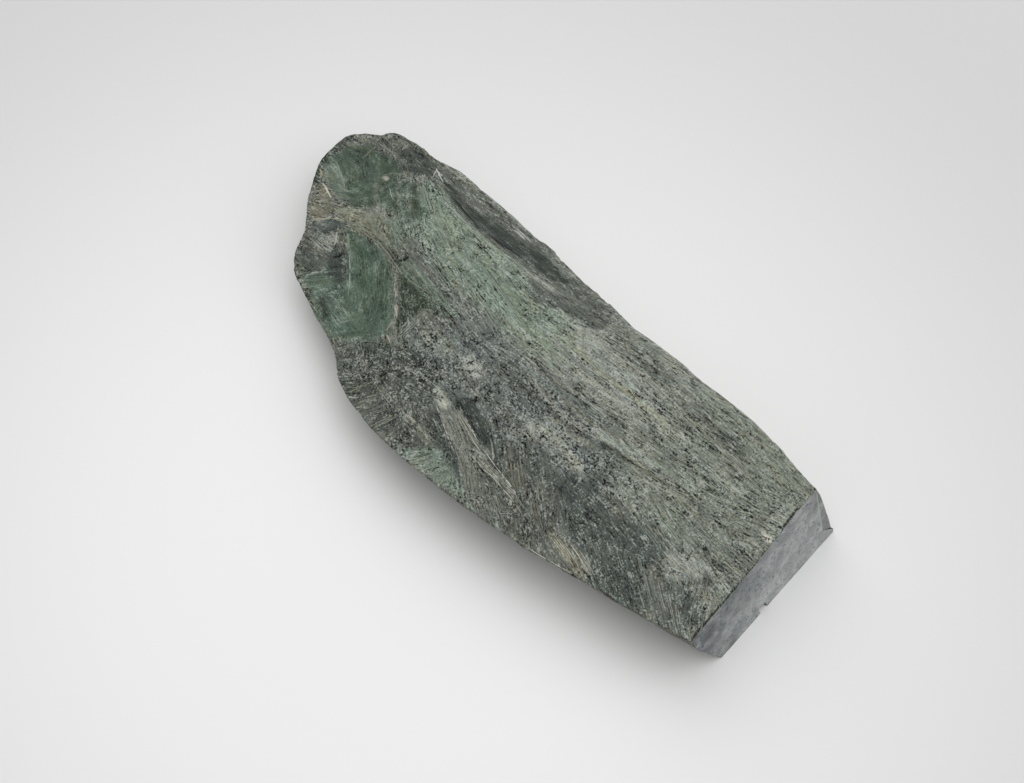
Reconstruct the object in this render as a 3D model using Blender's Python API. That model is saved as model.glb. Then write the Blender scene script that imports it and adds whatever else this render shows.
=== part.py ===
"""A piece of raw jade boulder, as one solid stone.

Its top is split along the grain, in long leaning planes that meet at a ridge and a ledge, and ends
in two shell-shaped scoops at the thin end. The thick end and the underside are sawn flat. The left
and far sides keep the boulder's rounded skin, which runs in under the rim.

+X runs along the stone to the sawn end, +Z is up, and the stone lies on its sawn base at z = 0.
"""

import math
import random

import bmesh
import bpy
import numpy as np
from mathutils import Matrix, Vector, noise

MM = 0.001

# ---------------------------------------------------------------- driving dimensions, in millimetres
# Lines along the top, from the thin far end to past the sawn end, as (x, y, z).
LEFT_RIM = [
    (-91, -24, 16), (-75, -31, 15.5), (-60, -35.5, 17), (-52, -39.5, 18), (-46, -44.5, 19),
    (-32, -49, 19.5), (-7, -51, 21), (19, -49.5, 22), (45, -46.5, 23), (70, -42.5, 24),
    (93, -38, 25), (115, -32, 25.5), (130, -28, 26),
]
RIDGE = [
    (-100, -8, 22), (-91, 3.5, 24), (-75, 7, 27), (-65, 7.5, 29), (-51.5, 2, 30), (-39.5, -2, 31),
    (-8, -3, 31), (33, -3.5, 31), (60, 3, 30), (85, 6, 29.5), (113, 5, 29), (130, 5, 29),
]
LEDGE = [
    (-110.5, 38.5, 19), (-93, 37, 24), (-76, 33.5, 29), (-57.5, 28.5, 32.5), (-33, 27.5, 33),
    (-2.5, 27.5, 32), (12, 32.5, 30), (29, 35.5, 30), (58, 35.5, 31), (86.5, 34.5, 32),
    (109.5, 31.5, 32), (130, 28, 32),
]
RIGHT_RIM = [
    (-94.5, 45.5, 20), (-77, 49.5, 17.5), (-56, 50.5, 15), (-35, 50.5, 15), (-12.5, 48.5, 17.5),
    (10.5, 45, 22), (32, 42.5, 26), (61.5, 42, 29), (81, 41, 31), (109, 37, 32), (130, 33, 32),
]
# The rim round the far end, in three runs that start and stop on the lines above.
FAR_RIM_LEFT = [(-91, -24, 16), (-95, -18, 17.5), (-97, -12, 20), (-100, -8, 22)]
FAR_RIM_TIP = [
    (-100, -8, 22), (-106, -2.5, 21), (-112.5, 5, 19), (-118.5, 14.5, 17), (-120.5, 22.5, 16.5),
    (-120, 30, 17), (-116.5, 35.5, 18), (-110.5, 38.5, 19),
]
FAR_RIM_RIGHT = [(-110.5, 38.5, 19), (-107, 42.5, 20), (-101, 44, 20.5), (-94.5, 45.5, 20)]

# The sawn base's outline, where the sides run in to it.
BASE_LEFT = [
    (-76, -12, 0), (-60, -21, 0), (-40, -31, 0), (-8, -36, 0), (30, -35, 0), (70, -28, 0),
    (100, -22.5, 0), (130, -16, 0),
]
BASE_RIGHT = [
    (-86, 35, 0), (-60, 43, 0), (-20, 45, 0), (20, 42.5, 0), (60, 41.5, 0), (100, 42.5, 0), (130, 45, 0),
]
BASE_FAR = [(-76, -12, 0), (-90, -1, 0), (-101, 12, 0), (-102, 25, 0), (-86, 35, 0)]

# The lattice: rows along the stone, columns across each strip between two lines, layers down a side.
ROWS = 88
LEFT_COLUMNS, RISER_COLUMNS, TOP_COLUMNS, RIGHT_COLUMNS = 15, 1, 13, 6
LAYERS = 6
FAR_REACH = 0.30  # share of the length over which the far end's round shape fades out
CUT_ALLOWANCE = 3.0  # the lattice reaches this far below the base before it is sawn

# The left plane lies below the ridge by a step, given as (share of the length, drop).
RIDGE_STEPS = [(0, 0), (0.15, 0.4), (0.35, 0.9), (0.5, 1.6), (0.72, 1.8), (0.86, 0.8), (1, 0)]
RIDGE_STEP_RUN = 1.0  # and each step takes this far sideways
# The steep face right of the ledge is hollow, given as (share of the length, depth).
RIGHT_HOLLOWS = [(0, 0), (0.12, 1.4), (0.35, 2.4), (0.55, 0.8), (0.66, 0), (1, 0)]
SKIN_BELLY = 2.6  # the skin bulges out by this much between rim and base
RIGHT_BELLY = 0.8  # and the right side by this much

# Scoops: (x, y, radius along, radius across, turn in degrees, depth).
SCOOPS = {
    "tip scoop": (-101, 24, 18, 15, 45, 6.2),
    "tip facet": (-89.5, 41, 10, 6, 20, 1.6),
    "side scoop": (-67.5, -11, 25, 14.5, -45, 6.8),
    "side scoop wall": (-82, -19, 17, 9, -45, 2.0),
    "lens scar": (-95, -3, 7.5, 3.6, 45, 1.6),
    "scar below the lens": (-89, -8, 6, 4.5, 0, 1.2),
    "rim bite": (-44, -33, 11, 7, 35, 1.5),
    "shoulder scar": (-30, -22, 9, 6, -20, 1.3),
    "hollow by the blades": (4, -23, 13, 7, -22, 1.2),
    "hollow under the ridge": (7, -7, 15, 5, -4, 0.8),
    "middle hollow": (50, -16, 20, 9, -8, 1.3),
    "end hollow": (101, -19, 13, 10, -12, 1.5),
    "right plane hollow": (40, 21, 34, 9, -4, 0.9),
    "right plane dip": (-22, 12, 24, 8, -8, 0.8),
}
# Raised seams of fibre: (start x, y), (end x, y), half-width, height.
SEAMS = {
    "upper blade": ((-10, -22), (46, -38), 4.0, 1.7),
    "lower blade": ((-16, -29), (20, -38), 3.8, 1.3),
    "rim blade": ((-22, -38), (12, -43), 3.6, 1.0),
    "side scoop lip": ((-40, -2), (-40, -22), 4.0, 1.4),
    "side scoop foot": ((-40, -20), (-58, -35), 4.0, 1.0),
    "left plane step": ((20, -14), (66, -8), 4.0, 0.7),
    "end seam": ((70, -16), (112, -24), 4.0, 0.9),
    "right plane seam": ((-8, 17), (60, 19), 4.0, 0.8),
    "ridge seam": ((52, 8), (86, 10), 4.0, 0.6),
}
# Small flakes struck off the left rim: how many, their radii and their depths.
RIM_FLAKES = 24
RIM_FLAKE_RADII = (4.0, 7.5)
RIM_FLAKE_DEPTHS = (0.5, 1.5)
RIM_FLAKE_INSET = 7.0  # their middles lie up to this far in from the rim
FLAKE_SEED = 11

# Unevenness of the split faces: (wavelength, height), coarse to fine.
LUMPS = [(34.0, 1.0), (13.0, 0.8), (6.5, 0.5)]
WANDER = (12.0, 0.9)  # and the lines on them wander sideways, as (wavelength, reach)
GRAIN_STRETCH = 2.4  # lumps are this much longer along the grain
GRAIN_TURN = math.radians(-9)  # the grain's heading from +X
LUMP_SEED = Vector((17.3, 4.1, 8.8))

# Saw cuts.
SAWN_END_FOOT = (119.2, 12.0, 0.0)  # a point on the sawn end's lower edge
SAWN_END_SKEW = math.radians(3.2)  # turn of the cut about the vertical
SAWN_END_LEAN = math.radians(15)  # the cut leans back towards the far end

# A small notch broken out of the sawn end's lower edge: its place, turn about Z and size.
NOTCH_AT = (119.0, 2.8, 1.0)
NOTCH_TURN = math.radians(24)
NOTCH_SIZE = (4.8, 3.2, 4.4)
# The sawn end's right corner is chipped. The chip's flat face runs through these three points.
CHIP_FOOT = (115.2, 34.6, 10.0)
CHIP_TOP = (108.8, 36.7, 32.2)
CHIP_HEEL = (116.2, 44.0, 0.3)
CHIP_REACH = 1.6  # the cutter runs past the points by this factor
CHIP_CLEARANCE = 12.0  # and stands this far out from the end

JADE_COLOUR = (0.155, 0.185, 0.150, 1.0)
JADE_ROUGHNESS = 0.55


# ---------------------------------------------------------------- curves
def spline(points, count):
    """count points, evenly spaced, on a smooth curve through the given points."""
    knots = np.array([points[0], *points, points[-1]], float)
    t = np.linspace(0, 1, 24, endpoint=False)[:, None]
    fine = [
        0.5 * (2 * b + (c - a) * t + (2 * a - 5 * b + 4 * c - d) * t**2 + (3 * b - a - 3 * c + d) * t**3)
        for a, b, c, d in zip(knots, knots[1:], knots[2:], knots[3:])
    ]
    fine = np.concatenate([*fine, knots[-1:]])
    run = np.concatenate([[0], np.cumsum(np.linalg.norm(np.diff(fine, axis=0), axis=1))])
    stops = np.linspace(0, run[-1], count)
    return np.stack([np.interp(stops, run, fine[:, axis]) for axis in range(3)], axis=1)


def along_the_stone(table):
    """A table of (share, value) read at every row, as a column."""
    shares, values = zip(*table)
    return np.interp(np.linspace(0, 1, ROWS + 1), shares, values)[:, None]


def ruled(line_a, line_b, columns):
    """Points between two lines, as rows x columns x 3, without the last column."""
    share = np.linspace(0, 1, columns, endpoint=False)[None, :, None]
    return line_a[:, None] * (1 - share) + line_b[:, None] * share


def with_far_end(sheet, far_row):
    """Bends the sheet's first rows so that its far edge follows far_row."""
    fade = np.clip(1 - np.linspace(0, 1, len(sheet)) / FAR_REACH, 0, 1) ** 2
    return sheet + fade[:, None, None] * (far_row - sheet[0])


# ---------------------------------------------------------------- the two sheets
def top_sheet():
    left, ridge, ledge, right = (
        spline(line, ROWS + 1) for line in (LEFT_RIM, RIDGE, LEDGE, RIGHT_RIM)
    )
    drop = along_the_stone(RIDGE_STEPS)
    foot = ridge + np.concatenate([0 * drop, -RIDGE_STEP_RUN * (drop > 0), -drop], axis=1)
    steep = ruled(ledge, right, RIGHT_COLUMNS)
    across = np.linspace(0, 1, RIGHT_COLUMNS, endpoint=False)
    steep[:, :, 2] -= along_the_stone(RIGHT_HOLLOWS) * np.sin(np.pi * across)
    strips = [
        ruled(left, foot, LEFT_COLUMNS),
        ruled(foot, ridge, RISER_COLUMNS),
        ruled(ridge, ledge, TOP_COLUMNS),
        steep,
        right[:, None],
    ]
    far_row = np.concatenate([
        spline(FAR_RIM_LEFT, LEFT_COLUMNS + 1)[:-1],
        [FAR_RIM_LEFT[-1]] * RISER_COLUMNS,
        spline(FAR_RIM_TIP, TOP_COLUMNS + 1)[:-1],
        spline(FAR_RIM_RIGHT, RIGHT_COLUMNS + 1),
    ])
    sheet = with_far_end(np.concatenate(strips, axis=1), far_row)
    x, y = sheet[:, :, 0], sheet[:, :, 1]
    sheet[:, :, 2] += seam_height(x, y) - scoop_depth(x, y, [*SCOOPS.values(), *rim_flakes(left)])
    return sheet


def base_sheet(columns):
    left, right = spline(BASE_LEFT, ROWS + 1), spline(BASE_RIGHT, ROWS + 1)
    sheet = np.concatenate([ruled(left, right, columns), right[:, None]], axis=1)
    sheet = with_far_end(sheet, spline(BASE_FAR, columns + 1))
    sheet[:, :, 2] = -CUT_ALLOWANCE
    return sheet


def rim_flakes(rim):
    """Small scoops scattered along the rim, in the same form as SCOOPS."""
    pick = random.Random(FLAKE_SEED)
    flakes = []
    for _ in range(RIM_FLAKES):
        x, y, _height = rim[pick.randrange(len(rim))]
        radius = pick.uniform(*RIM_FLAKE_RADII)
        flakes.append((
            x, y + pick.uniform(0, RIM_FLAKE_INSET), radius, radius * pick.uniform(0.5, 0.8),
            pick.uniform(0, 180), pick.uniform(*RIM_FLAKE_DEPTHS),
        ))
    return flakes


def scoop_depth(x, y, scoops):
    """How far the scoops cut into the top at (x, y): each is a dish with a crisp edge."""
    depth = np.zeros_like(x)
    for at_x, at_y, along, across, turn, deep in scoops:
        c, s = math.cos(math.radians(turn)), math.sin(math.radians(turn))
        u = ((x - at_x) * c + (y - at_y) * s) / along
        v = ((y - at_y) * c - (x - at_x) * s) / across
        depth += deep * np.clip(1 - u * u - v * v, 0, None)
    return depth


def seam_height(x, y):
    """How far the seams of fibre stand up at (x, y): each is a low roof that fades at its ends."""
    height = np.zeros_like(x)
    for start, end, half_width, tall in SEAMS.values():
        run = np.subtract(end, start)
        share = ((x - start[0]) * run[0] + (y - start[1]) * run[1]) / run.dot(run)
        off = np.abs((y - start[1]) * run[0] - (x - start[0]) * run[1]) / np.linalg.norm(run)
        fade = np.clip(4 * share * (1 - share), 0, 1)
        height += tall * fade * np.clip(1 - off / half_width, 0, 1)
    return height


# ---------------------------------------------------------------- the stone
def lattice(rows, columns, layers):
    """A unit cube cut into rows along X, columns along Y and layers along Z."""
    bm = bmesh.new()
    bmesh.ops.create_cube(bm, size=1.0, matrix=Matrix.Translation((0.5, 0.5, 0.5)))
    for axis, count in ((0, rows), (1, columns), (2, layers)):
        along = [e for e in bm.edges if abs(e.verts[0].co[axis] - e.verts[1].co[axis]) > 1e-6]
        bmesh.ops.subdivide_edges(bm, edges=along, cuts=count - 1, use_grid_fill=True)
    return bm


def shape_stone(bm, top, base):
    """Moves the lattice's vertices onto the two sheets and the sides between them."""
    rows, columns = top.shape[0] - 1, top.shape[1] - 1
    middle = (top + base).mean(axis=(0, 1)) / 2
    for vertex in bm.verts:
        i, j, up = round(vertex.co.x * rows), round(vertex.co.y * columns), vertex.co.z
        here = base[i, j] * (1 - up) + top[i, j] * up
        outward = Vector((here[0] - middle[0], here[1] - middle[1], 0)).normalized()
        belly = (RIGHT_BELLY if j == columns else SKIN_BELLY) * math.sin(math.pi * up)
        vertex.co = Vector(here) + belly * outward


def roughen(bm):
    """Pushes each vertex along its normal by lumps that the grain stretches, and lets lines wander."""
    bm.normal_update()
    to_grain = Matrix.Rotation(-GRAIN_TURN, 3, "Z")
    squeeze = Matrix.Diagonal((1 / GRAIN_STRETCH, 1, 1))
    moves = []
    for vertex in bm.verts:
        place = squeeze @ (to_grain @ vertex.co) + LUMP_SEED
        push = sum(height * noise.noise(place / length) for length, height in LUMPS)
        drift = noise.noise_vector(vertex.co / WANDER[0]) * WANDER[1]
        moves.append(vertex.normal * push + drift - vertex.normal * drift.dot(vertex.normal))
    for vertex, move in zip(bm.verts, moves):
        vertex.co += move


def saw(bm, point, normal):
    """Cuts off what lies beyond the plane, and closes the cut with one flat face."""
    whole = bm.verts[:] + bm.edges[:] + bm.faces[:]
    bmesh.ops.bisect_plane(bm, geom=whole, plane_co=point, plane_no=normal, clear_outer=True, dist=1e-4)
    rim = [e for e in bm.edges if e.is_boundary]
    bmesh.ops.edgeloop_fill(bm, edges=rim)


def sawn_end_normal():
    lean = Matrix.Rotation(-SAWN_END_LEAN, 3, "Y")
    skew = Matrix.Rotation(SAWN_END_SKEW, 3, "Z")
    return skew @ lean @ Vector((1, 0, 0))


def centre_on_base(bm):
    """Brings the middle of the stone's box to x = y = 0."""
    places = np.array([vertex.co for vertex in bm.verts])
    middle = (places.min(axis=0) + places.max(axis=0)) / 2
    bmesh.ops.translate(bm, vec=(-middle[0], -middle[1], 0), verts=bm.verts)


def jade_material():
    material = bpy.data.materials.new("jade")
    material.use_nodes = True
    shader = material.node_tree.nodes["Principled BSDF"]
    shader.inputs["Base Color"].default_value = JADE_COLOUR
    shader.inputs["Roughness"].default_value = JADE_ROUGHNESS
    shader.inputs["Metallic"].default_value = 0.0
    return material


def add_stone(bm, collection):
    mesh = bpy.data.meshes.new("jade_boulder")
    bmesh.ops.scale(bm, vec=(MM, MM, MM), verts=bm.verts)
    bmesh.ops.recalc_face_normals(bm, faces=bm.faces)
    bm.to_mesh(mesh)
    mesh.materials.append(jade_material())
    mesh.shade_smooth()
    mesh.set_sharp_from_angle(angle=math.radians(35))
    stone = bpy.data.objects.new("jade_boulder", mesh)
    collection.objects.link(stone)
    return stone


# ---------------------------------------------------------------- breaks in the sawn end's edges
def add_block_cutter(name, collection, corner_to_place):
    """A unit cube with one corner at the origin, moved and sheared by the given matrix."""
    bm = bmesh.new()
    bmesh.ops.create_cube(bm, size=1.0, matrix=Matrix.Translation((0.5, 0.5, 0.5)))
    bmesh.ops.transform(bm, matrix=Matrix.Scale(MM, 4) @ corner_to_place, verts=bm.verts)
    bmesh.ops.recalc_face_normals(bm, faces=bm.faces)
    mesh = bpy.data.meshes.new(name)
    bm.to_mesh(mesh)
    bm.free()
    cutter = bpy.data.objects.new(name, mesh)
    cutter.hide_render = True
    cutter.display_type = "WIRE"
    collection.objects.link(cutter)
    return cutter


def notch_place():
    middle = Matrix.Translation((-0.5, -0.5, -0.5))
    size = Matrix.Diagonal((*NOTCH_SIZE, 1))
    return Matrix.Translation(NOTCH_AT) @ Matrix.Rotation(NOTCH_TURN, 4, "Z") @ size @ middle


def chip_place():
    foot, top, heel = Vector(CHIP_FOOT), Vector(CHIP_TOP), Vector(CHIP_HEEL)
    sides = (CHIP_REACH * (top - foot), CHIP_REACH * (heel - foot), CHIP_CLEARANCE * sawn_end_normal())
    return Matrix.Translation(foot) @ Matrix(sides).transposed().to_4x4()


def cut_with(stone, cutter):
    cut = stone.modifiers.new(cutter.name, "BOOLEAN")
    cut.operation = "DIFFERENCE"
    cut.solver = "EXACT"
    cut.object = cutter


def new_collection(name):
    collection = bpy.data.collections.new(name)
    bpy.context.scene.collection.children.link(collection)
    return collection


def main():
    for leftover in list(bpy.data.objects):
        bpy.data.objects.remove(leftover)
    parts, cutters = new_collection("raw jade boulder"), new_collection("cutters")

    top = top_sheet()
    bm = lattice(ROWS, top.shape[1] - 1, LAYERS)
    shape_stone(bm, top, base_sheet(top.shape[1] - 1))
    roughen(bm)
    saw(bm, SAWN_END_FOOT, sawn_end_normal())
    saw(bm, (0, 0, 0), (0, 0, -1))
    centre_on_base(bm)

    stone = add_stone(bm, parts)
    bm.free()
    cut_with(stone, add_block_cutter("notch cutter", cutters, notch_place()))
    cut_with(stone, add_block_cutter("corner chip cutter", cutters, chip_place()))


main()
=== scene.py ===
import math

import bmesh
import bpy
import numpy as np
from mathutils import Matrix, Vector, noise
from mathutils.bvhtree import BVHTree


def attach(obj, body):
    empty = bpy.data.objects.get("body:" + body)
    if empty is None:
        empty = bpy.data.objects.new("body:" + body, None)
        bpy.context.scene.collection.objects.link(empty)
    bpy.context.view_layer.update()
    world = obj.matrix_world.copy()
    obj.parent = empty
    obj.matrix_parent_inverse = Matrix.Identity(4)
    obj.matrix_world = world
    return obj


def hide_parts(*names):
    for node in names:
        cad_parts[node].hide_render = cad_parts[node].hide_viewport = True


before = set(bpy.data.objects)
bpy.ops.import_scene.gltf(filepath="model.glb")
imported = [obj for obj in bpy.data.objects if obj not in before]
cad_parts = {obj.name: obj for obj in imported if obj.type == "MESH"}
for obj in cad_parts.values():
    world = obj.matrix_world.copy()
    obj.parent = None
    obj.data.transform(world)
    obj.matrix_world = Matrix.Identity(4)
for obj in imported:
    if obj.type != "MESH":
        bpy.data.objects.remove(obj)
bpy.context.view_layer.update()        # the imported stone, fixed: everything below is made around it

mm = 0.001
scene = bpy.context.scene


# A shader socket that can be written into sums: a + b, 1 - a or a * 0.5 each add one Math node.
class Wire:
    def __init__(self, tree, socket=None):
        self.tree = tree
        self.socket = socket

    # Adds any node: its settings first, then its sockets by name or number. Gives back one output.
    def node(self, kind, settings=None, values=None, output=0):
        made = self.tree.nodes.new(kind)
        for name, value in (settings or {}).items():
            setattr(made, name, value)
        for name, value in (values or {}).items():
            if isinstance(value, Wire):
                self.tree.links.new(value.socket, made.inputs[name])
            else:
                made.inputs[name].default_value = value
        return Wire(self.tree, made.outputs[output])

    # Another output of the node that this one comes from.
    def beside(self, output):
        return Wire(self.tree, self.socket.node.outputs[output])

    def maths(self, operation, a, b=0.0):
        return self.node("ShaderNodeMath", {"operation": operation}, {0: a, 1: b})

    def __add__(self, other):
        return self.maths("ADD", self, other)

    def __radd__(self, other):
        return self.maths("ADD", other, self)

    def __sub__(self, other):
        return self.maths("SUBTRACT", self, other)

    def __rsub__(self, other):
        return self.maths("SUBTRACT", other, self)

    def __mul__(self, other):
        return self.maths("MULTIPLY", self, other)

    def __rmul__(self, other):
        return self.maths("MULTIPLY", other, self)

    # A soft threshold: 0 below low and 1 above high, or the other way round if low is the larger.
    def step(self, low, high):
        settings = {"interpolation_type": "SMOOTHSTEP"}
        values = {"Value": self, "From Min": min(low, high), "From Max": max(low, high)}
        rise = self.node("ShaderNodeMapRange", settings, values)
        return rise if low < high else 1 - rise

    def vector(self, operation, other):
        return self.node("ShaderNodeVectorMath", {"operation": operation}, {0: self, 1: other})

    # Noise with features of that size in millimetres: one number, or three for a stretched one.
    def noise(self, size, detail, roughness=0.5):
        if not isinstance(size, tuple):
            size = (size,) * 3
        spot = self.vector("DIVIDE", size)
        values = {"Vector": spot, "Scale": 1.0, "Detail": detail, "Roughness": roughness}
        return self.node("ShaderNodeTexNoise", {}, values)

    def mixed(self, other, factor, blend="MIX"):
        settings = {"data_type": "RGBA", "blend_type": blend, "clamp_factor": True}
        return self.node("ShaderNodeMix", settings, {0: factor, 6: self, 7: other}, output=2)

    def times(self, red, green, blue):
        return self.mixed((red, green, blue, 1.0), 1.0, "MULTIPLY")

    def brighter(self, factor):
        return self.node("ShaderNodeVectorMath", {"operation": "SCALE"}, {0: self, "Scale": factor})

    # Thin lines where noise crosses its middle.
    def lines(self, width):
        return self.maths("ABSOLUTE", self - 0.5).step(width, 0.0)


def linear(red, green, blue):
    return tuple(((c / 255 + 0.055) / 1.055) ** 2.4 for c in (red, green, blue))


def smooth(low, high, x):
    t = np.clip((x - low) / (high - low), 0, 1)
    return t * t * (3 - 2 * t)


print("camera")
view = {
    "image": (1024, 783),
    "lens": 70.0,
    "sensor": 36.0,
    "place": (238.9, -242.6, 648.7),  # mm
    "tilt": 28.0,  # degrees up from straight down
    "turn": 44.7,  # degrees about the vertical
}


def makeCamera():
    data = bpy.data.cameras.new("camera")
    data.lens, data.sensor_width = view["lens"], view["sensor"]
    data.clip_start = 0.01
    camera = bpy.data.objects.new("camera", data)
    camera.location = Vector(view["place"]) * mm
    camera.rotation_euler = (math.radians(view["tilt"]), 0, math.radians(view["turn"]))
    scene.collection.objects.link(camera)
    scene.camera = camera
    bpy.context.view_layer.update()
    return camera


camera = makeCamera()
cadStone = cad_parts["jade_boulder"]
cadTree = BVHTree.FromObject(cadStone, bpy.context.evaluated_depsgraph_get())


# The point of the stone that a pixel shows, in millimetres.
def onStone(pixel):
    width, height = view["image"]
    reach = view["lens"] / view["sensor"] * width
    ray = Vector(((pixel[0] - width / 2) / reach, (height / 2 - pixel[1]) / reach, -1))
    hit = cadTree.ray_cast(camera.location, camera.matrix_world.to_3x3() @ ray)[0]
    if hit is None:
        raise ValueError(f"pixel {pixel} misses the stone")
    return np.array(hit) / mm


print("stone: fine mesh")
fineMesh = {
    "weld": 0.002,  # mm
    "flatAngle": 0.1,  # degrees: faces closer than this are one flat face
    "flatCorners": 8,  # a face with more corners than this was sawn
    "quadFace": 60,
    "quadShape": 70,
    "sharpAngle": 38,
    "levels": 2,
}


# A copy of the stone in smooth quads, with its sawn edges kept sharp.
def makeFineMesh():
    bm = bmesh.new()
    bm.from_mesh(cadStone.data)
    bmesh.ops.remove_doubles(bm, verts=bm.verts, dist=fineMesh["weld"] * mm)
    flat = math.radians(fineMesh["flatAngle"])
    bmesh.ops.dissolve_limit(bm, angle_limit=flat, verts=bm.verts, edges=bm.edges)
    bmesh.ops.join_triangles(
        bm, faces=[face for face in bm.faces if len(face.verts) == 3],
        angle_face_threshold=math.radians(fineMesh["quadFace"]),
        angle_shape_threshold=math.radians(fineMesh["quadShape"]),
    )
    sawnCut = bm.faces.layers.int.new("sawnCut")
    for number, face in enumerate(bm.faces):
        face[sawnCut] = number + 1 if len(face.verts) > fineMesh["flatCorners"] else 0
    crease = bm.edges.layers.float.new("crease_edge")
    for edge in bm.edges:
        byCut = any(face[sawnCut] for face in edge.link_faces)
        edge[crease] = byCut or edge.calc_face_angle(0) > math.radians(fineMesh["sharpAngle"])
    coarse = bpy.data.meshes.new("coarseStone")
    bm.to_mesh(coarse)
    bm.free()
    block = bpy.data.objects.new("coarseStone", coarse)
    scene.collection.objects.link(block)
    subdivide = block.modifiers.new("smooth", "SUBSURF")
    subdivide.levels = subdivide.render_levels = fineMesh["levels"]
    fine = bpy.data.meshes.new_from_object(block.evaluated_get(bpy.context.evaluated_depsgraph_get()))
    bpy.data.objects.remove(block)
    bpy.data.meshes.remove(coarse)
    # Each sawn cut is one flat face again
    bm = bmesh.new()
    bm.from_mesh(fine)
    sawnCut = bm.faces.layers.int["sawnCut"]
    for cut in {face[sawnCut] for face in bm.faces} - {0}:
        bmesh.ops.dissolve_faces(bm, faces=[face for face in bm.faces if face[sawnCut] == cut])
    bm.to_mesh(fine)
    bm.free()
    return fine


def read(items, name, width=1, kind=np.float32):
    values = np.empty(len(items) * width, kind)
    items.foreach_get(name, values)
    return values.reshape(-1, width) if width > 1 else values


fine = makeFineMesh()
place = read(fine.vertices, "co", 3).astype(float) / mm
edges = read(fine.edges, "vertices", 2, np.int32)
faceSawn = read(fine.attributes["sawnCut"].data, "value", 1, np.int32) > 0
points = len(place)


def unit(vectors):
    return vectors / np.maximum(np.linalg.norm(vectors, axis=-1, keepdims=True), 1e-9)


# The normals of the split surface alone, so that it keeps its own slope at a sawn edge.
def skinNormals():
    total = np.zeros((points, 3))
    skinFaces = np.flatnonzero(~faceSawn)
    starts = read(fine.polygons, "loop_start", 1, np.int32)[skinFaces]
    corners = read(fine.loops, "vertex_index", 1, np.int32)[starts[:, None] + np.arange(4)]
    weighted = read(fine.polygons, "normal", 3)[skinFaces] * read(fine.polygons, "area")[skinFaces, None]
    for corner in corners.T:
        np.add.at(total, corner, weighted)
    return unit(total)


skinNormal = skinNormals()
touches = np.bincount(edges.ravel(), minlength=points)
atCut = np.zeros(points, bool)
for face in fine.polygons:
    if faceSawn[face.index]:
        atCut[list(face.vertices)] = True


# The mean of each point's neighbours, as often as asked.
def blurred(values, times):
    for _ in range(times):
        total = np.bincount(edges[:, 0], values[edges[:, 1]], points)
        total += np.bincount(edges[:, 1], values[edges[:, 0]], points)
        values = 0.5 * values + 0.5 * total / touches
    return values


# Smoothing drew the stone in at its edges: this takes it back out to its true size.
def backOut():
    gap = np.array([cadTree.find_nearest(Vector(spot) * mm)[0] for spot in place]) / mm - place
    gap[atCut] = 0
    return place + np.stack([blurred(axis, 2) * ~atCut for axis in gap.T], axis=1)


place = backOut()


# Smooth random numbers of about -1 to 1 over the stone, with features of that size in millimetres.
def wander(size, seed):
    shift = Vector((seed * 17.3, seed * 5.9, seed * 11.1))
    return np.array([noise.noise(Vector(spot) / size + shift) for spot in place])


# Several of these added together: how strong each is, its size and its seed.
def waves(layers):
    return sum(strength * wander(size, seed) for strength, size, seed in layers)


# For a line through pixels: each point's distance from it, its side and how far along it lies (0 to 1).
def beside(pixels, spots=None):
    spots = place if spots is None else spots
    path = [onStone(pixel) for pixel in pixels]
    nearest, side, along = np.full(points, 1e9), np.zeros(points), np.zeros(points)
    lengths = [np.linalg.norm(b - a) for a, b in zip(path, path[1:])] or [1.0]
    passed = 0.0
    for start, end in zip(path, path[1:] or path):
        run = end - start
        length = max(np.linalg.norm(run), 1e-6)
        t = np.clip((spots - start) @ run / length**2, 0, 1)
        away = spots - start - t[:, None] * run
        distance = np.linalg.norm(away, axis=1)
        closer = distance < nearest
        left = run[0] * away[:, 1] - run[1] * away[:, 0]
        nearest = np.where(closer, distance, nearest)
        side = np.where(closer, np.where(left > 0, 1.0, -1.0), side)
        along = np.where(closer, (passed + t * length) / sum(lengths), along)
        passed += length
    return nearest, side, along


# For an outline through pixels: each point's distance from it as seen from above, below 0 inside it.
def within(pixels):
    corners = np.array([onStone(pixel)[:2] for pixel in pixels])
    nearest, odd = np.full(points, 1e9), np.zeros(points, bool)
    x, y = place[:, 0], place[:, 1]
    for a, b in zip(corners, np.roll(corners, -1, axis=0)):
        run = b - a
        t = np.clip((place[:, :2] - a) @ run / (run @ run), 0, 1)
        nearest = np.minimum(nearest, np.linalg.norm(place[:, :2] - a - t[:, None] * run, axis=1))
        odd ^= ((a[1] > y) != (b[1] > y)) & (x < a[0] + (y - a[1]) * run[0] / (run[1] or 1e-9))
    return np.where(odd, -nearest, nearest)


# The stone's tones: its greens from dark to pale, its greys from dark to pale, then its browner ones and
# one bluish grey.
tones = {
    "night": (24, 28, 24),
    "deepest": (44, 52, 46),
    "deepGreen": (56, 67, 54),
    "bottle": (74, 88, 75),
    "seaGreen": (84, 100, 87),
    "moss": (101, 112, 100),
    "paleGreen": (122, 134, 121),
    "slate": (63, 69, 65),
    "ash": (76, 82, 78),
    "lead": (88, 92, 86),
    "pewter": (102, 106, 99),
    "stone": (112, 116, 108),
    "dove": (123, 128, 118),
    "cloud": (136, 140, 132),
    "chalk": (150, 154, 146),
    "bone": (168, 172, 162),
    "ivory": (194, 193, 182),
    "clay": (108, 106, 93),
    "sand": (124, 123, 110),
    "straw": (143, 146, 128),
    "reed": (132, 135, 120),
    "bluegrey": (102, 107, 104),
}

print("stone: areas")
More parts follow.
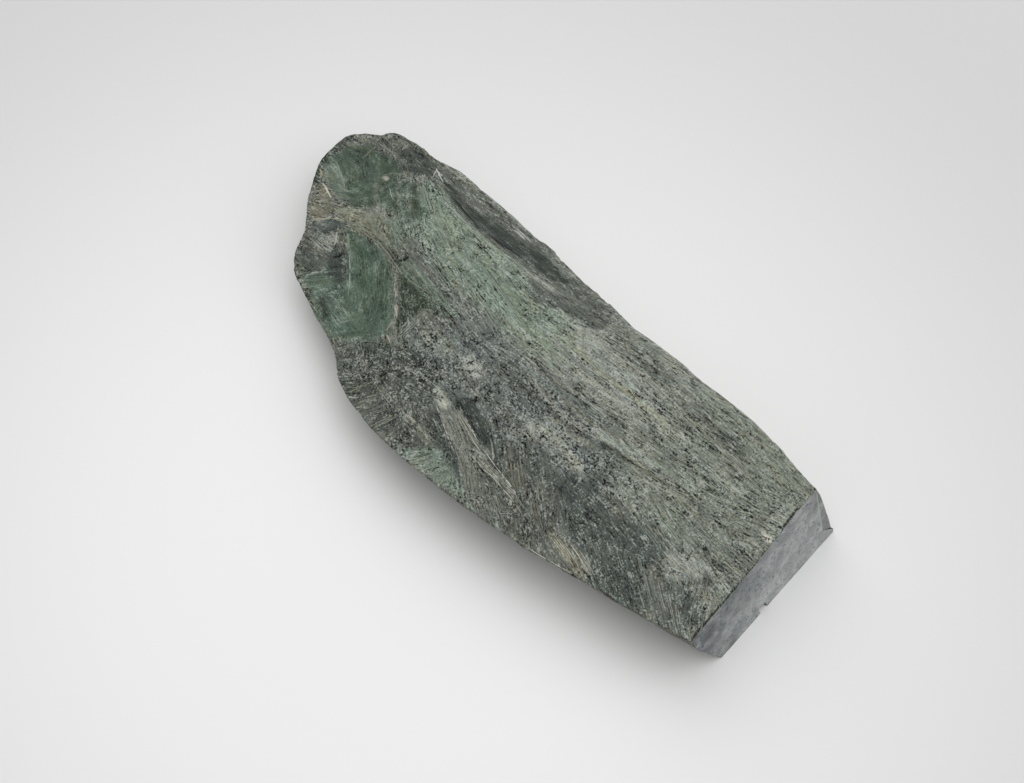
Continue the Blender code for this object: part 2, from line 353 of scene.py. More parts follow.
# Facets and zones: their outline in pixels, the soft edge in mm, the tone, how far it covers what is
# below it and how cleanly the stone split there (0 to 1).
areas = {
    "sideScoop": ([(350, 229), (364, 235), (378, 246), (389, 262), (393, 285), (393, 312), (388, 336),
                   (368, 342), (346, 342), (336, 330), (340, 300), (345, 262)], 1.2, "seaGreen", 1.0, 1.0),
    "sideScoopLow": ([(360, 280), (386, 284), (388, 312), (382, 330), (362, 330), (354, 306)],
                     2.6, "seaGreen", 0.85, 0.0),
    "leftWall": ([(299, 260), (330, 262), (346, 262), (345, 290), (340, 318), (344, 338), (330, 338),
                  (321, 325), (311, 303)], 1.6, "seaGreen", 0.9, 0.75),
    "leftBulge": ([(304, 246), (306, 234), (320, 250), (330, 262), (318, 276), (300, 270), (299, 256)],
                  1.2, "lead", 0.9, 0.85),
    "olive": ([(398, 268), (414, 281), (438, 300), (441, 318), (424, 312), (410, 328), (398, 340),
               (397, 320), (399, 296)], 1.0, "deepGreen", 0.95, 0.2),
    "scoopFoot": ([(336, 338), (392, 342), (404, 336), (400, 350), (384, 358), (342, 352)],
                  1.6, "moss", 0.85, 0.2),
    "wedgeDark": ([(328, 252), (338, 249), (347, 250), (348, 276), (337, 288), (329, 272)],
                  1.0, "slate", 0.9, 0.7),
    "lens": ([(309, 228), (318, 222), (332, 219), (346, 222), (343, 230), (326, 233), (313, 232)],
             0.6, "ash", 0.95, 0.8),
    "wedge": ([(311, 235), (326, 234), (343, 230), (335, 248), (325, 252)], 0.7, "dove", 0.9, 0.6),
    "leftTan": ([(308, 214), (312, 196), (320, 180), (327, 186), (335, 203), (334, 212), (318, 220)],
                1.2, "clay", 0.9, 0.6),
    "septum": ([(335, 207), (352, 208), (378, 213), (392, 221), (396, 238), (388, 247), (373, 239),
                (351, 228), (338, 217)], 0.9, "reed", 0.95, 0.85),
    "ridge": ([(398, 238), (412, 236), (428, 254), (440, 284), (440, 298), (430, 292), (416, 284),
               (402, 273), (392, 258)], 1.4, "pewter", 0.9, 0.45),
    "ridgeTan": ([(384, 217), (402, 218), (406, 238), (400, 250), (390, 244)], 1.0, "moss", 0.9, 0.8),
    "tipScoop": ([(334, 158), (348, 148), (370, 147), (392, 158), (402, 170), (392, 182), (386, 207),
                  (352, 207), (346, 198), (344, 182)], 1.0, "bottle", 1.0, 1.0),
    # Painted light: the tip bowl's left wall, paler where it faces the light.
    "tipWall": ([(325, 163), (334, 158), (345, 182), (347, 198), (337, 199), (326, 178)],
                0.6, "moss", 0.95, 1.0),
    "rimGrey": ([(372, 142), (385, 138), (404, 139), (414, 147), (402, 154), (390, 158), (374, 149)],
                0.9, "pewter", 0.85, 0.4),
    "greenSmooth": ([(430, 200), (448, 214), (470, 240), (500, 262), (528, 285), (520, 312), (490, 300),
                     (460, 270), (432, 240)], 3.0, "paleGreen", 0.5, 0.5),
    "lowerRough": ([(600, 562), (640, 590), (668, 584), (690, 600), (690, 632), (680, 632), (640, 612),
                    (604, 590)], 2.0, "lead", 0.6, 0.4),
    "scoopRight": ([(380, 186), (392, 178), (412, 182), (428, 198), (424, 220), (404, 220), (387, 210)],
                   1.5, "bottle", 0.9, 0.7),
    # Painted shade: the tip bowl's right wall, darker where it faces away from the light.
    "shadedFacet": ([(396, 148), (424, 152), (440, 165), (437, 177), (418, 176), (402, 170)],
                  1.0, "slate", 0.9, 0.7),
    "steepBand": ([(434, 158), (470, 184), (510, 214), (556, 259), (606, 302), (618, 318), (600, 332),
                   (566, 312), (530, 300), (528, 272), (500, 250), (470, 224), (450, 197), (442, 178)],
                  1.2, "lead", 0.95, 0.3),
    "crestShadow": ([(441, 184), (456, 194), (470, 205), (486, 215), (502, 226), (518, 240), (542, 254),
                     (562, 266), (574, 282), (560, 285), (536, 268), (510, 250), (490, 238), (474, 226),
                     (460, 212), (448, 200)], 1.4, "deepest", 0.95, 0.85),
    "rightEdge": ([(600, 296), (636, 333), (662, 354), (660, 386), (640, 380), (614, 342)],
                  2.4, "pewter", 0.8, 0.0),
    "darkLens": ([(410, 187), (417, 186), (422, 200), (421, 209), (413, 208)], 0.5, "deepGreen", 1.0, 1.0),
    "darkLensTwo": ([(433, 198), (437, 199), (439, 206), (435, 210), (431, 204)],
                    0.4, "deepGreen", 1.0, 1.0),
    "leftRough": ([(334, 342), (395, 346), (440, 372), (436, 392), (424, 430), (400, 408), (376, 386),
                   (342, 384)], 1.8, "lead", 0.9, 0.0),
    "ribs": ([(342, 386), (372, 384), (398, 410), (430, 444), (412, 452), (384, 432), (358, 408)],
             1.4, "lead", 0.9, 0.1),
    "fan": ([(400, 450), (438, 446), (456, 468), (468, 492), (460, 496), (430, 474)],
            1.0, "paleGreen", 0.95, 0.4),
    "bladeGap": ([(424, 420), (436, 408), (446, 432), (460, 466), (466, 492), (452, 470), (436, 446)],
                 0.9, "ash", 0.9, 0.0),
    "bladeA": ([(437, 402), (452, 402), (466, 426), (474, 450), (476, 484), (468, 492), (459, 462),
                (446, 430)], 0.7, "stone", 0.95, 0.2),
    "darkRight": ([(453, 400), (470, 396), (484, 418), (496, 444), (500, 462), (488, 452), (472, 430),
                   (459, 412)], 1.0, "slate", 0.95, 0.1),
    "ribbon": ([(472, 448), (484, 446), (502, 468), (521, 494), (529, 518), (516, 510), (498, 490),
                (482, 470)], 0.7, "cloud", 0.95, 0.1),
    "darkFoot": ([(548, 494), (576, 496), (606, 520), (632, 552), (644, 582), (628, 604), (604, 592),
                  (584, 562), (566, 534), (552, 514)], 1.8, "ash", 0.85, 0.1),
    "downFibres": ([(478, 474), (500, 440), (530, 448), (556, 462), (562, 520), (548, 556), (512, 536),
                    (488, 520)], 2.0, "lead", 0.85, 0.1),
    "rimTan": ([(545, 533), (554, 530), (570, 547), (588, 570), (592, 582), (578, 574), (562, 556)],
               0.9, "sand", 0.95, 0.0),
    "palePatch": ([(664, 552), (696, 556), (706, 568), (700, 582), (664, 578)], 1.5, "chalk", 0.9, 0.1),
    "darkPool": ([(548, 472), (574, 474), (598, 486), (618, 506), (600, 514), (570, 502), (550, 490)],
                 1.4, "ash", 0.9, 0.1),
    "darkStretch": ([(588, 508), (625, 516), (652, 534), (668, 556), (648, 568), (612, 548), (590, 528)],
                    2.0, "ash", 0.9, 0.2),
    "greenStretch": ([(636, 486), (672, 500), (700, 528), (706, 548), (676, 544), (648, 514)],
                     2.0, "dove", 0.9, 0.1),
    "endSmooth": ([(636, 588), (664, 580), (688, 598), (690, 626), (664, 624), (644, 610)],
                  2.0, "lead", 0.4, 0.55),
}
areaDistance = {name: within(area[0]) for name, area in areas.items()}

print("stone: grain")
grain = {
    "ragged": 3.0,  # mm by which the edges between bundles wander
    "blend": 0.9,  # mm over which one bundle turns into the next
    "plain": (3.0, 15.0),  # degrees from the stone's length, for all that is further off than that in mm
    # Strokes along the fibres, from pixel to pixel. Each point takes the direction of the nearest.
    "strokes": {
        "upperSlope": ((450, 215), (540, 300)), "greenSlope": ((430, 225), (500, 330)),
        "middleSlope": ((540, 300), (600, 350)), "speckledSlope": ((560, 340), (640, 410)),
        "rightSlope": ((640, 350), (720, 410)), "nearSlope": ((600, 430), (680, 500)),
        "farEnd": ((700, 420), (770, 480)), "endEdge": ((730, 500), (775, 528)),
        "endMiddle": ((680, 440), (740, 490)), "bowlLeft": ((380, 180), (385, 215)),
        "bowlRight": ((410, 190), (418, 225)), "septumTop": ((330, 212), (372, 222)),
        "septumTurn": ((385, 225), (415, 262)), "scoopTop": ((360, 240), (362, 290)),
        "scoopFloor": ((375, 260), (380, 330)), "wedgeFoot": ((300, 250), (316, 262)),
        "leftWall": ((305, 285), (330, 282)), "leftWallFoot": ((320, 300), (332, 322)),
        "ribsTop": ((350, 392), (376, 381)), "ribsMiddle": ((355, 408), (388, 396)),
        "ribsFoot": ((372, 428), (400, 414)), "tanLine": ((400, 412), (428, 440)),
        "fan": ((412, 459), (440, 448)), "leftRough": ((390, 370), (425, 392)),
        "bladeLeft": ((437, 408), (452, 446)), "bladeRight": ((456, 408), (486, 456)),
        "ribbon": ((486, 462), (522, 506)), "bladeFoot": ((466, 455), (472, 500)),
        "hollow": ((498, 440), (504, 475)), "downFibres": ((520, 460), (526, 530)),
        "darkPool": ((545, 470), (552, 530)), "nearRim": ((548, 530), (588, 582)),
        "darkFoot": ((600, 540), (616, 590)), "rimTeeth": ((636, 560), (648, 606)),
        "endRibs": ((666, 592), (676, 632)), "feather": ((642, 500), (672, 540)),
        "featherTip": ((660, 522), (684, 548)), "endTeeth": ((704, 586), (698, 606)),
        "endStreak": ((700, 560), (716, 586)), "greenStretch": ((690, 520), (728, 556)),
        "poolEdge": ((570, 480), (620, 530)), "darkStretch": ((625, 520), (655, 552)),
        "crossedTop": ((480, 350), (540, 400)), "crossedFoot": ((500, 410), (570, 450)),
        "crossedLeft": ((440, 340), (470, 380)),
    },
}


# The fibres' angle to the stone's length at every point, in radians.
def grainAngles():
    shift = np.stack([wander(5, 31), wander(5, 32), np.zeros(points)], axis=1)
    spots = place + grain["ragged"] * shift
    angle, furthest = grain["plain"]
    angles, distances = [math.radians(angle)], [np.full(points, furthest)]
    for first, last in grain["strokes"].values():
        run = onStone(last) - onStone(first)
        angle = math.atan2(run[1], run[0])
        angles.append(angle - math.pi * math.ceil((angle - math.radians(55)) / math.pi))
        distances.append(beside([first, last], spots)[0])
    distances = np.array(distances)
    shares = np.exp(-(distances - distances.min(0)) / grain["blend"])
    return (np.array(angles)[:, None] * shares).sum(0) / shares.sum(0)


grainAngle = grainAngles()

print("stone: relief")
relief = {
    "seed": 4,
    # How many bundles of fibres, then their length, width and height in mm, each from least to most.
    "bundles": [
        (170, (16, 48), (2.0, 5.0), (0.3, 0.75)),
        (1500, (6, 16), (1.0, 2.2), (0.15, 0.4)),
        (5600, (2.0, 5), (0.8, 1.4), (0.08, 0.25)),
    ],
    "jitter": 7.0,  # degrees
    "crossed": 0.12,  # the share of bundles that lie well across the others
    "crossing": (18, 40),  # degrees
    "toneSpread": 0.5,  # how much the bundles differ in brightness
    # How many pits, then their radius and depth in mm, each from least to most.
    "smallPits": (150, (0.6, 1.1), (0.15, 0.5)),
    "rindPits": (420, (0.7, 2.2), (0.1, 0.5)),
    # Waves, each with its strength, its size in mm and its seed. The first three are as strong as their
    # height in mm.
    "rindWaves": [(0.5, 9, 1), (0.3, 4, 2), (0.16, 1.8, 3)],
    "splitWaves": [(0.10, 2.2, 4), (0.08, 1.1, 5)],
    "glassWaves": [(0.10, 5, 6)],
    "ledgeGaps": [(1.0, 5, 7), (0.5, 2, 8)],
    # Slopes, as the upward part of a normal: where the skin turns into top, into rind and into rim.
    "topSlope": (0.15, 0.5),
    "rindSlope": (0.35, 0.0),
    "rimSlope": (0.2, 0.55),
    "inGlass": 0.12,  # the share of the relief that is kept where the stone split cleanly
    "onSteep": 0.25,  # the share that is kept on its steep sides
    "lowest": -1.6,  # mm
    "highest": 0.9,
    "rimHeld": 0.85,  # the share of the rises taken off at the rim
}
# Ledges: the line of the crest, the rise on its left side and the drop on its right, in mm, and the reach.
ledges = {
    "longLedge": ([(530, 383), (545, 400), (565, 425), (572, 426), (600, 440), (641, 466), (679, 499)],
                  0.55, 0.6, 3.0),
    "septum": ([(350, 222), (375, 235), (385, 245), (395, 260), (415, 275), (430, 290), (445, 310)],
               0.5, 0.5, 2.5),
    "paleChips": ([(447, 328), (462, 340), (485, 355)], 0.3, 0.5, 1.8),
    "diagonal": ([(425, 312), (405, 332), (395, 350)], 0.5, 0.3, 2.0),
    "yellowLine": ([(575, 352), (636, 402), (667, 427)], 0.3, 0.35, 2.5),
    "nearLine": ([(633, 456), (679, 496), (712, 528)], 0.25, 0.4, 2.5),
    "bladeLeft": ([(437, 410), (450, 440), (470, 470)], 0.6, 0.7, 3.0),
    "bladeRight": ([(455, 400), (485, 452), (520, 500), (530, 535)], 0.5, 0.7, 3.0),
    "tanLine": ([(395, 407), (414, 425), (428, 442)], 0.4, 0.5, 2.5),
    "leaf": ([(300, 277), (315, 272), (328, 270)], 0.4, 0.3, 1.6),
    "tipWall": ([(333, 160), (338, 172), (345, 185)], 0.35, 0.25, 1.5),
    "lens": ([(318, 232), (333, 230), (345, 224)], 0.3, 0.3, 1.5),
}
# Pits: the middle, the radius and the depth in mm.
pits = {
    "ridgeCrack": ((404, 260), 1.6, 0.8),
    "ridgeSpot": ((439, 270), 1.5, 0.8),
    "wedgeCrack": ((338, 253), 1.8, 1.0),
    "ledgePit": ((568, 405), 1.2, 0.8),
    "ledgeFoot": ((602, 448), 1.8, 0.9),
    "ledgeHead": ((617, 442), 1.5, 0.7),
    "rightPit": ((674, 380), 1.3, 1.0),
    "bowlSpot": ((383, 187), 1.0, 0.4),
}
draw = np.random.default_rng(relief["seed"])
glass = np.zeros(points)
for name, (_, soft, _, _, clean) in areas.items():
    glass = np.maximum(glass, clean * smooth(soft, -soft - 0.5, areaDistance[name]))
onSlope = relief["onSteep"] + (1 - relief["onSteep"]) * smooth(*relief["topSlope"], skinNormal[:, 2])
rough = (relief["inGlass"] + (1 - relief["inGlass"]) * (1 - glass)) * onSlope
byLength = np.argsort(place[:, 0])
sortedLength = place[byLength, 0]


# The points within that many millimetres of a point, as seen along the stone's length.
def around(centre, reach):
    first, last = np.searchsorted(sortedLength, (centre[0] - reach, centre[0] + reach))
    near = byLength[first:last]
    return near[np.abs(place[near, 1] - centre[1]) < reach]


height = np.zeros(points)
bundleTone = np.zeros(points)


# One bundle: a long wedge that climbs across the grain and drops off sharply at one edge.
def addBundle(centre, length, width, rise, angle, tone, strength):
    along = np.array([math.cos(angle), math.sin(angle), 0.0])
    up = skinNormal[centre]
    along = unit(along - along @ up * up)
    across = np.cross(up, along)
    near = around(place[centre], length / 2)
    offset = place[near] - place[centre]
    s = offset @ along / (length / 2)
    q = offset @ across / (width / 2) / (1.05 - 0.5 * s**2) + 0.15 * s**2
    inside = (np.abs(s) < 1) & (np.abs(q) < 1) & (np.abs(offset @ up) < 3)
    wedge = np.minimum((q + 1) / 1.7, (1 - q) / 0.3) * np.sqrt(np.clip(1 - s**2, 0, 1))
    near, wedge = near[inside], wedge[inside]
    height[near] += rise * strength * wedge
    bundleTone[near] += tone * np.minimum(1, wedge * 2)


for count, length, width, rise in relief["bundles"]:
    for centre in draw.choice(points, count):
        turn = draw.normal(0, relief["jitter"])
        if draw.random() < relief["crossed"]:
            turn += draw.choice((-1, 1)) * draw.uniform(*relief["crossing"])
        sizes = [draw.uniform(*bounds) for bounds in (length, width, rise)]
        tone = draw.normal(0, relief["toneSpread"])
        angle = grainAngle[centre] + math.radians(turn)
        addBundle(centre, *sizes, angle, tone, rough[centre])


# A crest along a line, high on one side and hollow on the other. The crest array holds painted light on the
# high side and painted shade below the drop.
crest = np.zeros(points)
broken = smooth(-0.3, 0.25, waves(relief["ledgeGaps"]))
for pixels, rise, drop, reach in ledges.values():
    distance, side, along = beside(pixels)
    ends = smooth(0, 0.15, along) * smooth(1, 0.85, along) * (0.3 + 0.7 * broken)
    step = np.where(side > 0, rise * np.exp(-distance / reach), -drop * np.exp(-distance / reach / 0.7))
    height += ends * step
    crest += 0.7 * ends * np.where(side > 0, np.exp(-distance / 0.8), -np.exp(-distance / 0.9))


# A bowl, drawn in along the axes whose squash is above 1.
def addPit(centre, radius, depth, squash):
    near = around(centre, 3 * radius)
    offset = (place[near] - centre) * squash
    bowl = np.exp(-((np.linalg.norm(offset, axis=1) / radius) ** 2))
    height[near] -= depth * bowl
    # Painted shade in the pit's hollow, laid into the colour later.
    crest[near] -= 1.2 * bowl


for pixel, radius, depth in pits.values():
    addPit(onStone(pixel), radius, depth, (1, 1.6, 1))
rind = smooth(*relief["rindSlope"], skinNormal[:, 2])


def scatterPits(where, count, radius, depth, squash):
    for centre in draw.choice(np.flatnonzero(where), count):
        addPit(place[centre], draw.uniform(*radius), draw.uniform(*depth), squash)


scatterPits(rough > 0.6, *relief["smallPits"], (1, 1.5, 1))
scatterPits(rind > 0.5, *relief["rindPits"], (1, 1, 1))
height += rind * waves(relief["rindWaves"])
height += rough * waves(relief["splitWaves"])
height += glass * waves(relief["glassWaves"])
height -= height.mean()
height = np.clip(height, relief["lowest"], relief["highest"])
rim = 1 - blurred(smooth(*relief["rimSlope"], skinNormal[:, 2]), 8)
height = np.where(height > 0, height * (1 - relief["rimHeld"] * np.minimum(1, rim * 1.5)), height)
# Laid into the colour, shade is painted light on crests and painted shade in crevices.
shade = height - blurred(height, 6)  # above 0 on crests and below 0 in crevices

moved = place + skinNormal * height[:, None]
# Rims that bulge or draw in more than the plain form: the line they follow, which way they move in pixels
# to the right and down, and the reach in mm.
nudges = {
    "crestRim": ([(432, 162), (470, 190), (505, 215), (530, 234)], (-2.6, 2.6), 6.0),
    "middleRim": ([(560, 264), (598, 298), (636, 334)], (-1.4, 1.4), 5.0),
    "rightRim": ([(690, 380), (716, 406), (740, 430)], (-2.2, 2.4), 6.0),
    "tipCorner": ([(326, 160), (345, 144)], (-1.6, -1.8), 5.0),
    "tipRim": ([(352, 140), (380, 139), (398, 139)], (0.0, -2.6), 5.0),
    "leftRim": ([(298, 256), (302, 242)], (-2.2, -0.6), 4.0),
}
perPixel = 0.36  # mm
toRight = np.array((0.711, 0.703, 0.0))  # the ways that the camera's right and its far side lie
toFar = np.array((-0.703, 0.711, 0.0))
for pixels, (right, down), reach in nudges.values():
    share = np.exp(-((beside(pixels)[0] / reach) ** 2)) * ~atCut
    moved += share[:, None] * perPixel * (right * toRight - down * toFar)
for face in fine.polygons:
    if faceSawn[face.index]:
        cut = np.array(face.normal)
        held = np.array(face.vertices)
        moved[held] -= ((moved[held] - place[held]) @ cut)[:, None] * cut
fine.vertices.foreach_set("co", (moved * mm).ravel())
fine.update()

print("stone: colours")
# Each zone or patch is a line of pixels, the half width and the soft edge in mm, the tone and how far it
# covers what is below it. The zones lie under the areas, and the patches over them.
zones = {
    "rightPlane": ([(570, 310), (710, 410)], 20, 10, "cloud", 1.0),
    "farPlane": ([(720, 430), (790, 490)], 15, 9, "dove", 1.0),
    "nearEnd": ([(650, 470), (770, 520)], 12, 9, "dove", 0.9),
    "greenPlane": ([(430, 225), (545, 330)], 11, 6, "paleGreen", 1.0),
    "speckled": ([(450, 350), (560, 460)], 17, 8, "bluegrey", 0.9),
}
patches = {
    "crestPlane": ([(432, 192), (458, 228), (505, 268)], 4.5, 2.5, "paleGreen", 0.9),
    "rimTop": ([(335, 150), (352, 140)], 2.0, 1.5, "slate", 0.8),
    "yellowSpot": ([(319, 170), (321, 175)], 0.7, 0.6, "clay", 0.9),
    "ridgeLow": ([(402, 264), (430, 290), (450, 312)], 2.6, 1.6, "moss", 0.9),
    "leftWallDark": ([(322, 298), (326, 314)], 1.3, 1.0, "deepest", 0.85),
    "wedgeCrack": ([(334, 257), (342, 253)], 0.5, 0.5, "night", 1.0),
    "ridgeCrack": ([(398, 262), (408, 257)], 0.4, 0.5, "night", 1.0),
    "bowlSpot": ([(383, 184), (386, 190)], 0.9, 0.7, "deepest", 0.95),
    "leftEdge": ([(316, 181), (320, 170), (328, 158)], 1.7, 1.0, "deepGreen", 0.9),
    "paleDiagonal": ([(426, 314), (408, 330), (396, 346)], 2.0, 1.2, "stone", 0.9),
    "darkFive": ([(380, 386), (402, 378)], 2.6, 2.0, "lead", 0.85),
    "darkSix": ([(392, 352), (420, 360)], 2.6, 2.0, "slate", 0.8),
    "headTan": ([(438, 392), (444, 404)], 1.7, 1.0, "bone", 0.9),
    "paleOne": ([(468, 362), (478, 372)], 2.6, 1.4, "chalk", 0.95),
    "paleTwo": ([(520, 428), (562, 440)], 4.0, 2.5, "cloud", 0.9),
    "paleThree": ([(571, 456), (580, 468)], 1.7, 1.2, "bone", 0.9),
    "paleFour": ([(428, 332), (446, 348)], 3, 2, "dove", 0.8),
    "darkThree": ([(508, 412), (522, 424)], 2.2, 1.4, "lead", 0.9),
    "blackEdge": ([(598, 443), (616, 450)], 0.3, 0.5, "lead", 0.9),
    "ledgeLight": ([(556, 420), (576, 432), (592, 438)], 2.4, 1.8, "cloud", 0.85),
    "endPale": ([(764, 534), (786, 510)], 1.8, 1.8, "chalk", 0.8),
    # Painted shadow: the lower rim darkened where the stone's contact shadow lies at its edge.
    "rimContactShade": ([(596, 584), (640, 604)], 3.0, 2.0, "ash", 0.85),
    "endRibs": ([(658, 590), (672, 624)], 4.5, 2.0, "lead", 0.9),
    "endDark": ([(690, 600), (694, 618)], 2.8, 1.2, "ash", 0.9),
    "darkBlur": ([(682, 588), (706, 582)], 2.0, 1.5, "lead", 0.85),
    "darkSpot": ([(718, 562), (724, 566)], 1.3, 1.0, "deepGreen", 0.85),
    "mottleOne": ([(680, 399), (702, 412), (720, 436)], 2.2, 2.4, "pewter", 0.8),
    "mottleTwo": ([(728, 438), (742, 452)], 2.6, 2, "ash", 0.85),
    "mottleThree": ([(660, 372), (676, 384)], 2.0, 1.6, "pewter", 0.8),
    "paleBandOne": ([(630, 362), (700, 428), (752, 478)], 1.2, 1.0, "dove", 0.75),
    "paleBandTwo": ([(545, 330), (600, 385), (640, 425)], 1.3, 1.2, "cloud", 0.7),
    "yellowLineOne": ([(578, 350), (600, 372), (630, 394), (664, 424)], 1.2, 1.0, "straw", 0.75),
    "yellowLineTwo": ([(632, 457), (656, 479), (676, 495)], 0.8, 0.7, "bone", 0.8),
    "tanStreak": ([(524, 292), (540, 314)], 0.8, 0.8, "straw", 0.7),
    "ledgeTan": ([(531, 380), (549, 402), (567, 420)], 0.7, 0.8, "chalk", 0.8),
    "ledgePale": ([(575, 425), (608, 438), (645, 462), (683, 495)], 0.8, 0.9, "chalk", 0.7),
    "tanSpot": ([(698, 482), (703, 485)], 0.7, 0.7, "chalk", 0.9),
    "crestBlotch": ([(534, 277), (550, 288)], 2.4, 1.6, "bone", 0.85),
    # Painted shade in the corner of the tip bowl's shaded right wall.
    "shadedFacetCorner": ([(422, 172), (432, 180)], 1.2, 1.0, "deepest", 0.85),
    # Painted shadow: the crest's shadow carried on to its far head.
    "crestHeadShadow": ([(441, 178), (458, 192)], 2.2, 1.6, "deepest", 0.85),
    "stripOne": ([(375, 184), (376, 196), (378, 207)], 0.9, 0.6, "dove", 0.9),
    "stripTwo": ([(382, 187), (384, 206)], 0.6, 0.6, "dove", 0.9),
    "stripThree": ([(400, 181), (399, 204)], 0.9, 0.6, "stone", 0.9),
    "stripFour": ([(407, 178), (408, 207)], 0.7, 0.6, "dove", 0.9),
    "stripGap": ([(388, 190), (390, 206)], 0.8, 0.8, "bottle", 0.8),
    "paleV": ([(437, 170), (440, 182)], 0.9, 0.7, "pewter", 0.9),
    "wedgeFill": ([(322, 240), (334, 239)], 1.7, 0.8, "chalk", 1.0),
    "wedgePoint": ([(322, 243), (330, 248)], 1.3, 0.8, "cloud", 1.0),
    # Painted light on the tip bowl's left wall, which faces the light.
    "litLeftWall": ([(331, 158), (340, 176)], 1.0, 0.8, "paleGreen", 0.9),
    "chipOne": ([(765, 537), (769, 540)], 0.9, 0.5, "ivory", 1.0),
    "chipTwo": ([(755, 543), (759, 549)], 0.8, 0.5, "bone", 1.0),
    "chipThree": ([(724, 585), (727, 589)], 0.7, 0.5, "bone", 1.0),
    "chipFour": ([(384, 177), (387, 179)], 0.8, 0.5, "chalk", 1.0),
}


raggedEdges = [(0.45, 9, 11), (0.35, 3.5, 12)]  # shares of the soft edge, with their sizes in mm and seeds


def colourStone():
    colour = np.tile(np.array(linear(*tones["stone"])), (points, 1))
    ragged = waves(raggedEdges)

    def lay(distance, soft, tone, cover):
        share = cover * smooth(soft, -soft, distance + ragged * soft)
        return colour + share[:, None] * (np.array(linear(*tones[tone])) - colour)

    for pixels, halfWidth, soft, tone, cover in zones.values():
        colour = lay(beside(pixels)[0] - halfWidth, soft, tone, cover)
    for name, (_, soft, tone, cover, _) in areas.items():
        colour = lay(areaDistance[name], soft, tone, cover)
    for pixels, halfWidth, soft, tone, cover in patches.values():
        colour = lay(beside(pixels)[0] - halfWidth, soft, tone, cover)
    return colour


colour = colourStone()


def setValues(name, kind, values):
    attribute = fine.attributes.new(name, kind, "POINT")
    held = "color" if kind == "FLOAT_COLOR" else "value"
    attribute.data.foreach_set(held, values.astype(np.float32).ravel())


# The ground in the middle that breaks in crumbs rather than in fibres: its outline in pixels, its soft
# edge in mm, and how far the edge wanders in mm, with the size of that and its seed.
crumbled = {
    "outline": [(432, 318), (480, 338), (530, 375), (572, 410), (604, 450), (640, 488), (622, 508),
                (590, 490), (560, 466), (520, 450), (496, 436), (470, 396), (438, 386), (400, 400),
                (352, 376), (342, 346), (395, 342)],
    "soft": 4.0,
    "ragged": [(2.0, 6, 13)],
}
setValues("stoneColour", "FLOAT_COLOR", np.hstack([colour, np.ones((points, 1))]))
setValues("grainAngle", "FLOAT", grainAngle)
setValues("glass", "FLOAT", glass)
setValues("rind", "FLOAT", rind)
crumbledDistance = within(crumbled["outline"]) + waves(crumbled["ragged"])
setValues("speckled", "FLOAT", smooth(crumbled["soft"], -crumbled["soft"], crumbledDistance))
# Painted light and shade: crests lit, crevices, ledge drops and pits shaded in the stone's colour.
setValues("crestLightAndCreviceShade", "FLOAT", np.clip(shade / 0.25, -1.5, 1.5) + 0.6 * crest)
# Painted shade: a thin dark line along the sawn end's top edge.
topCut = np.where(atCut & (skinNormal[:, 2] > 0.3), 1.0, 0.0)
setValues("cutEdge", "FLOAT", smooth(0.02, 0.14, blurred(topCut, 2)))
setValues("bundleTone", "FLOAT", np.clip(bundleTone, -1.5, 1.5))


# The flat map of the stone: its top, its underside, its two long sides and its two ends, one beside another.
chart = {
    "side": 292.0,  # mm of stone along one side of the map
    "top": (0.0, 0.0),  # mm, where each part's corner lies on the map
    "under": (0.0, 108.0),
    "far": (0.0, 216.0),
    "near": (0.0, 252.0),
    "endTip": (246.0, 0.0),
    "endSawn": (246.0, 108.0),
    "margin": 1.5,
    "topLeast": 0.3,  # a face whose normal rises more than this is on the top
    "underMost": -0.6,
}


def addChart(mesh, spots):
    layer = mesh.uv_layers.new(name="OFBake")
    layer.data.foreach_set("uv", spots.astype(np.float32).ravel())


def chartStone():
    corners = np.empty(len(fine.loops), int)
    fine.loops.foreach_get("vertex_index", corners)
    counts = np.array([face.loop_total for face in fine.polygons])
    owner = np.repeat(np.arange(len(counts)), counts)
    facing = np.stack([np.bincount(owner, skinNormal[corners, axis]) for axis in range(3)], axis=1)
    facing = unit(facing)[owner]
    x, y, z = (place - place.min(axis=0))[corners].T
    sawnCorner = faceSawn[owner]
    parts = {
        "top": ((x, y), (facing[:, 2] > chart["topLeast"]) & ~sawnCorner),
        "under": ((x, y), facing[:, 2] < chart["underMost"]),
        "endSawn": ((z, y), sawnCorner | (facing[:, 0] > abs(facing[:, 1]))),
        "endTip": ((z, y), facing[:, 0] < -abs(facing[:, 1])),
        "far": ((x, z), facing[:, 1] > 0),
        "near": ((x, z), facing[:, 1] <= 0),
    }
    names = list(parts)
    which = np.select([parts[name][1] for name in names], range(len(names)))
    spots = np.zeros((len(corners), 2))
    for number, name in enumerate(names):
        flat = np.stack(parts[name][0], axis=1) + chart[name] + chart["margin"]
        spots[which == number] = flat[which == number]
    addChart(fine, spots / chart["side"])


chartStone()

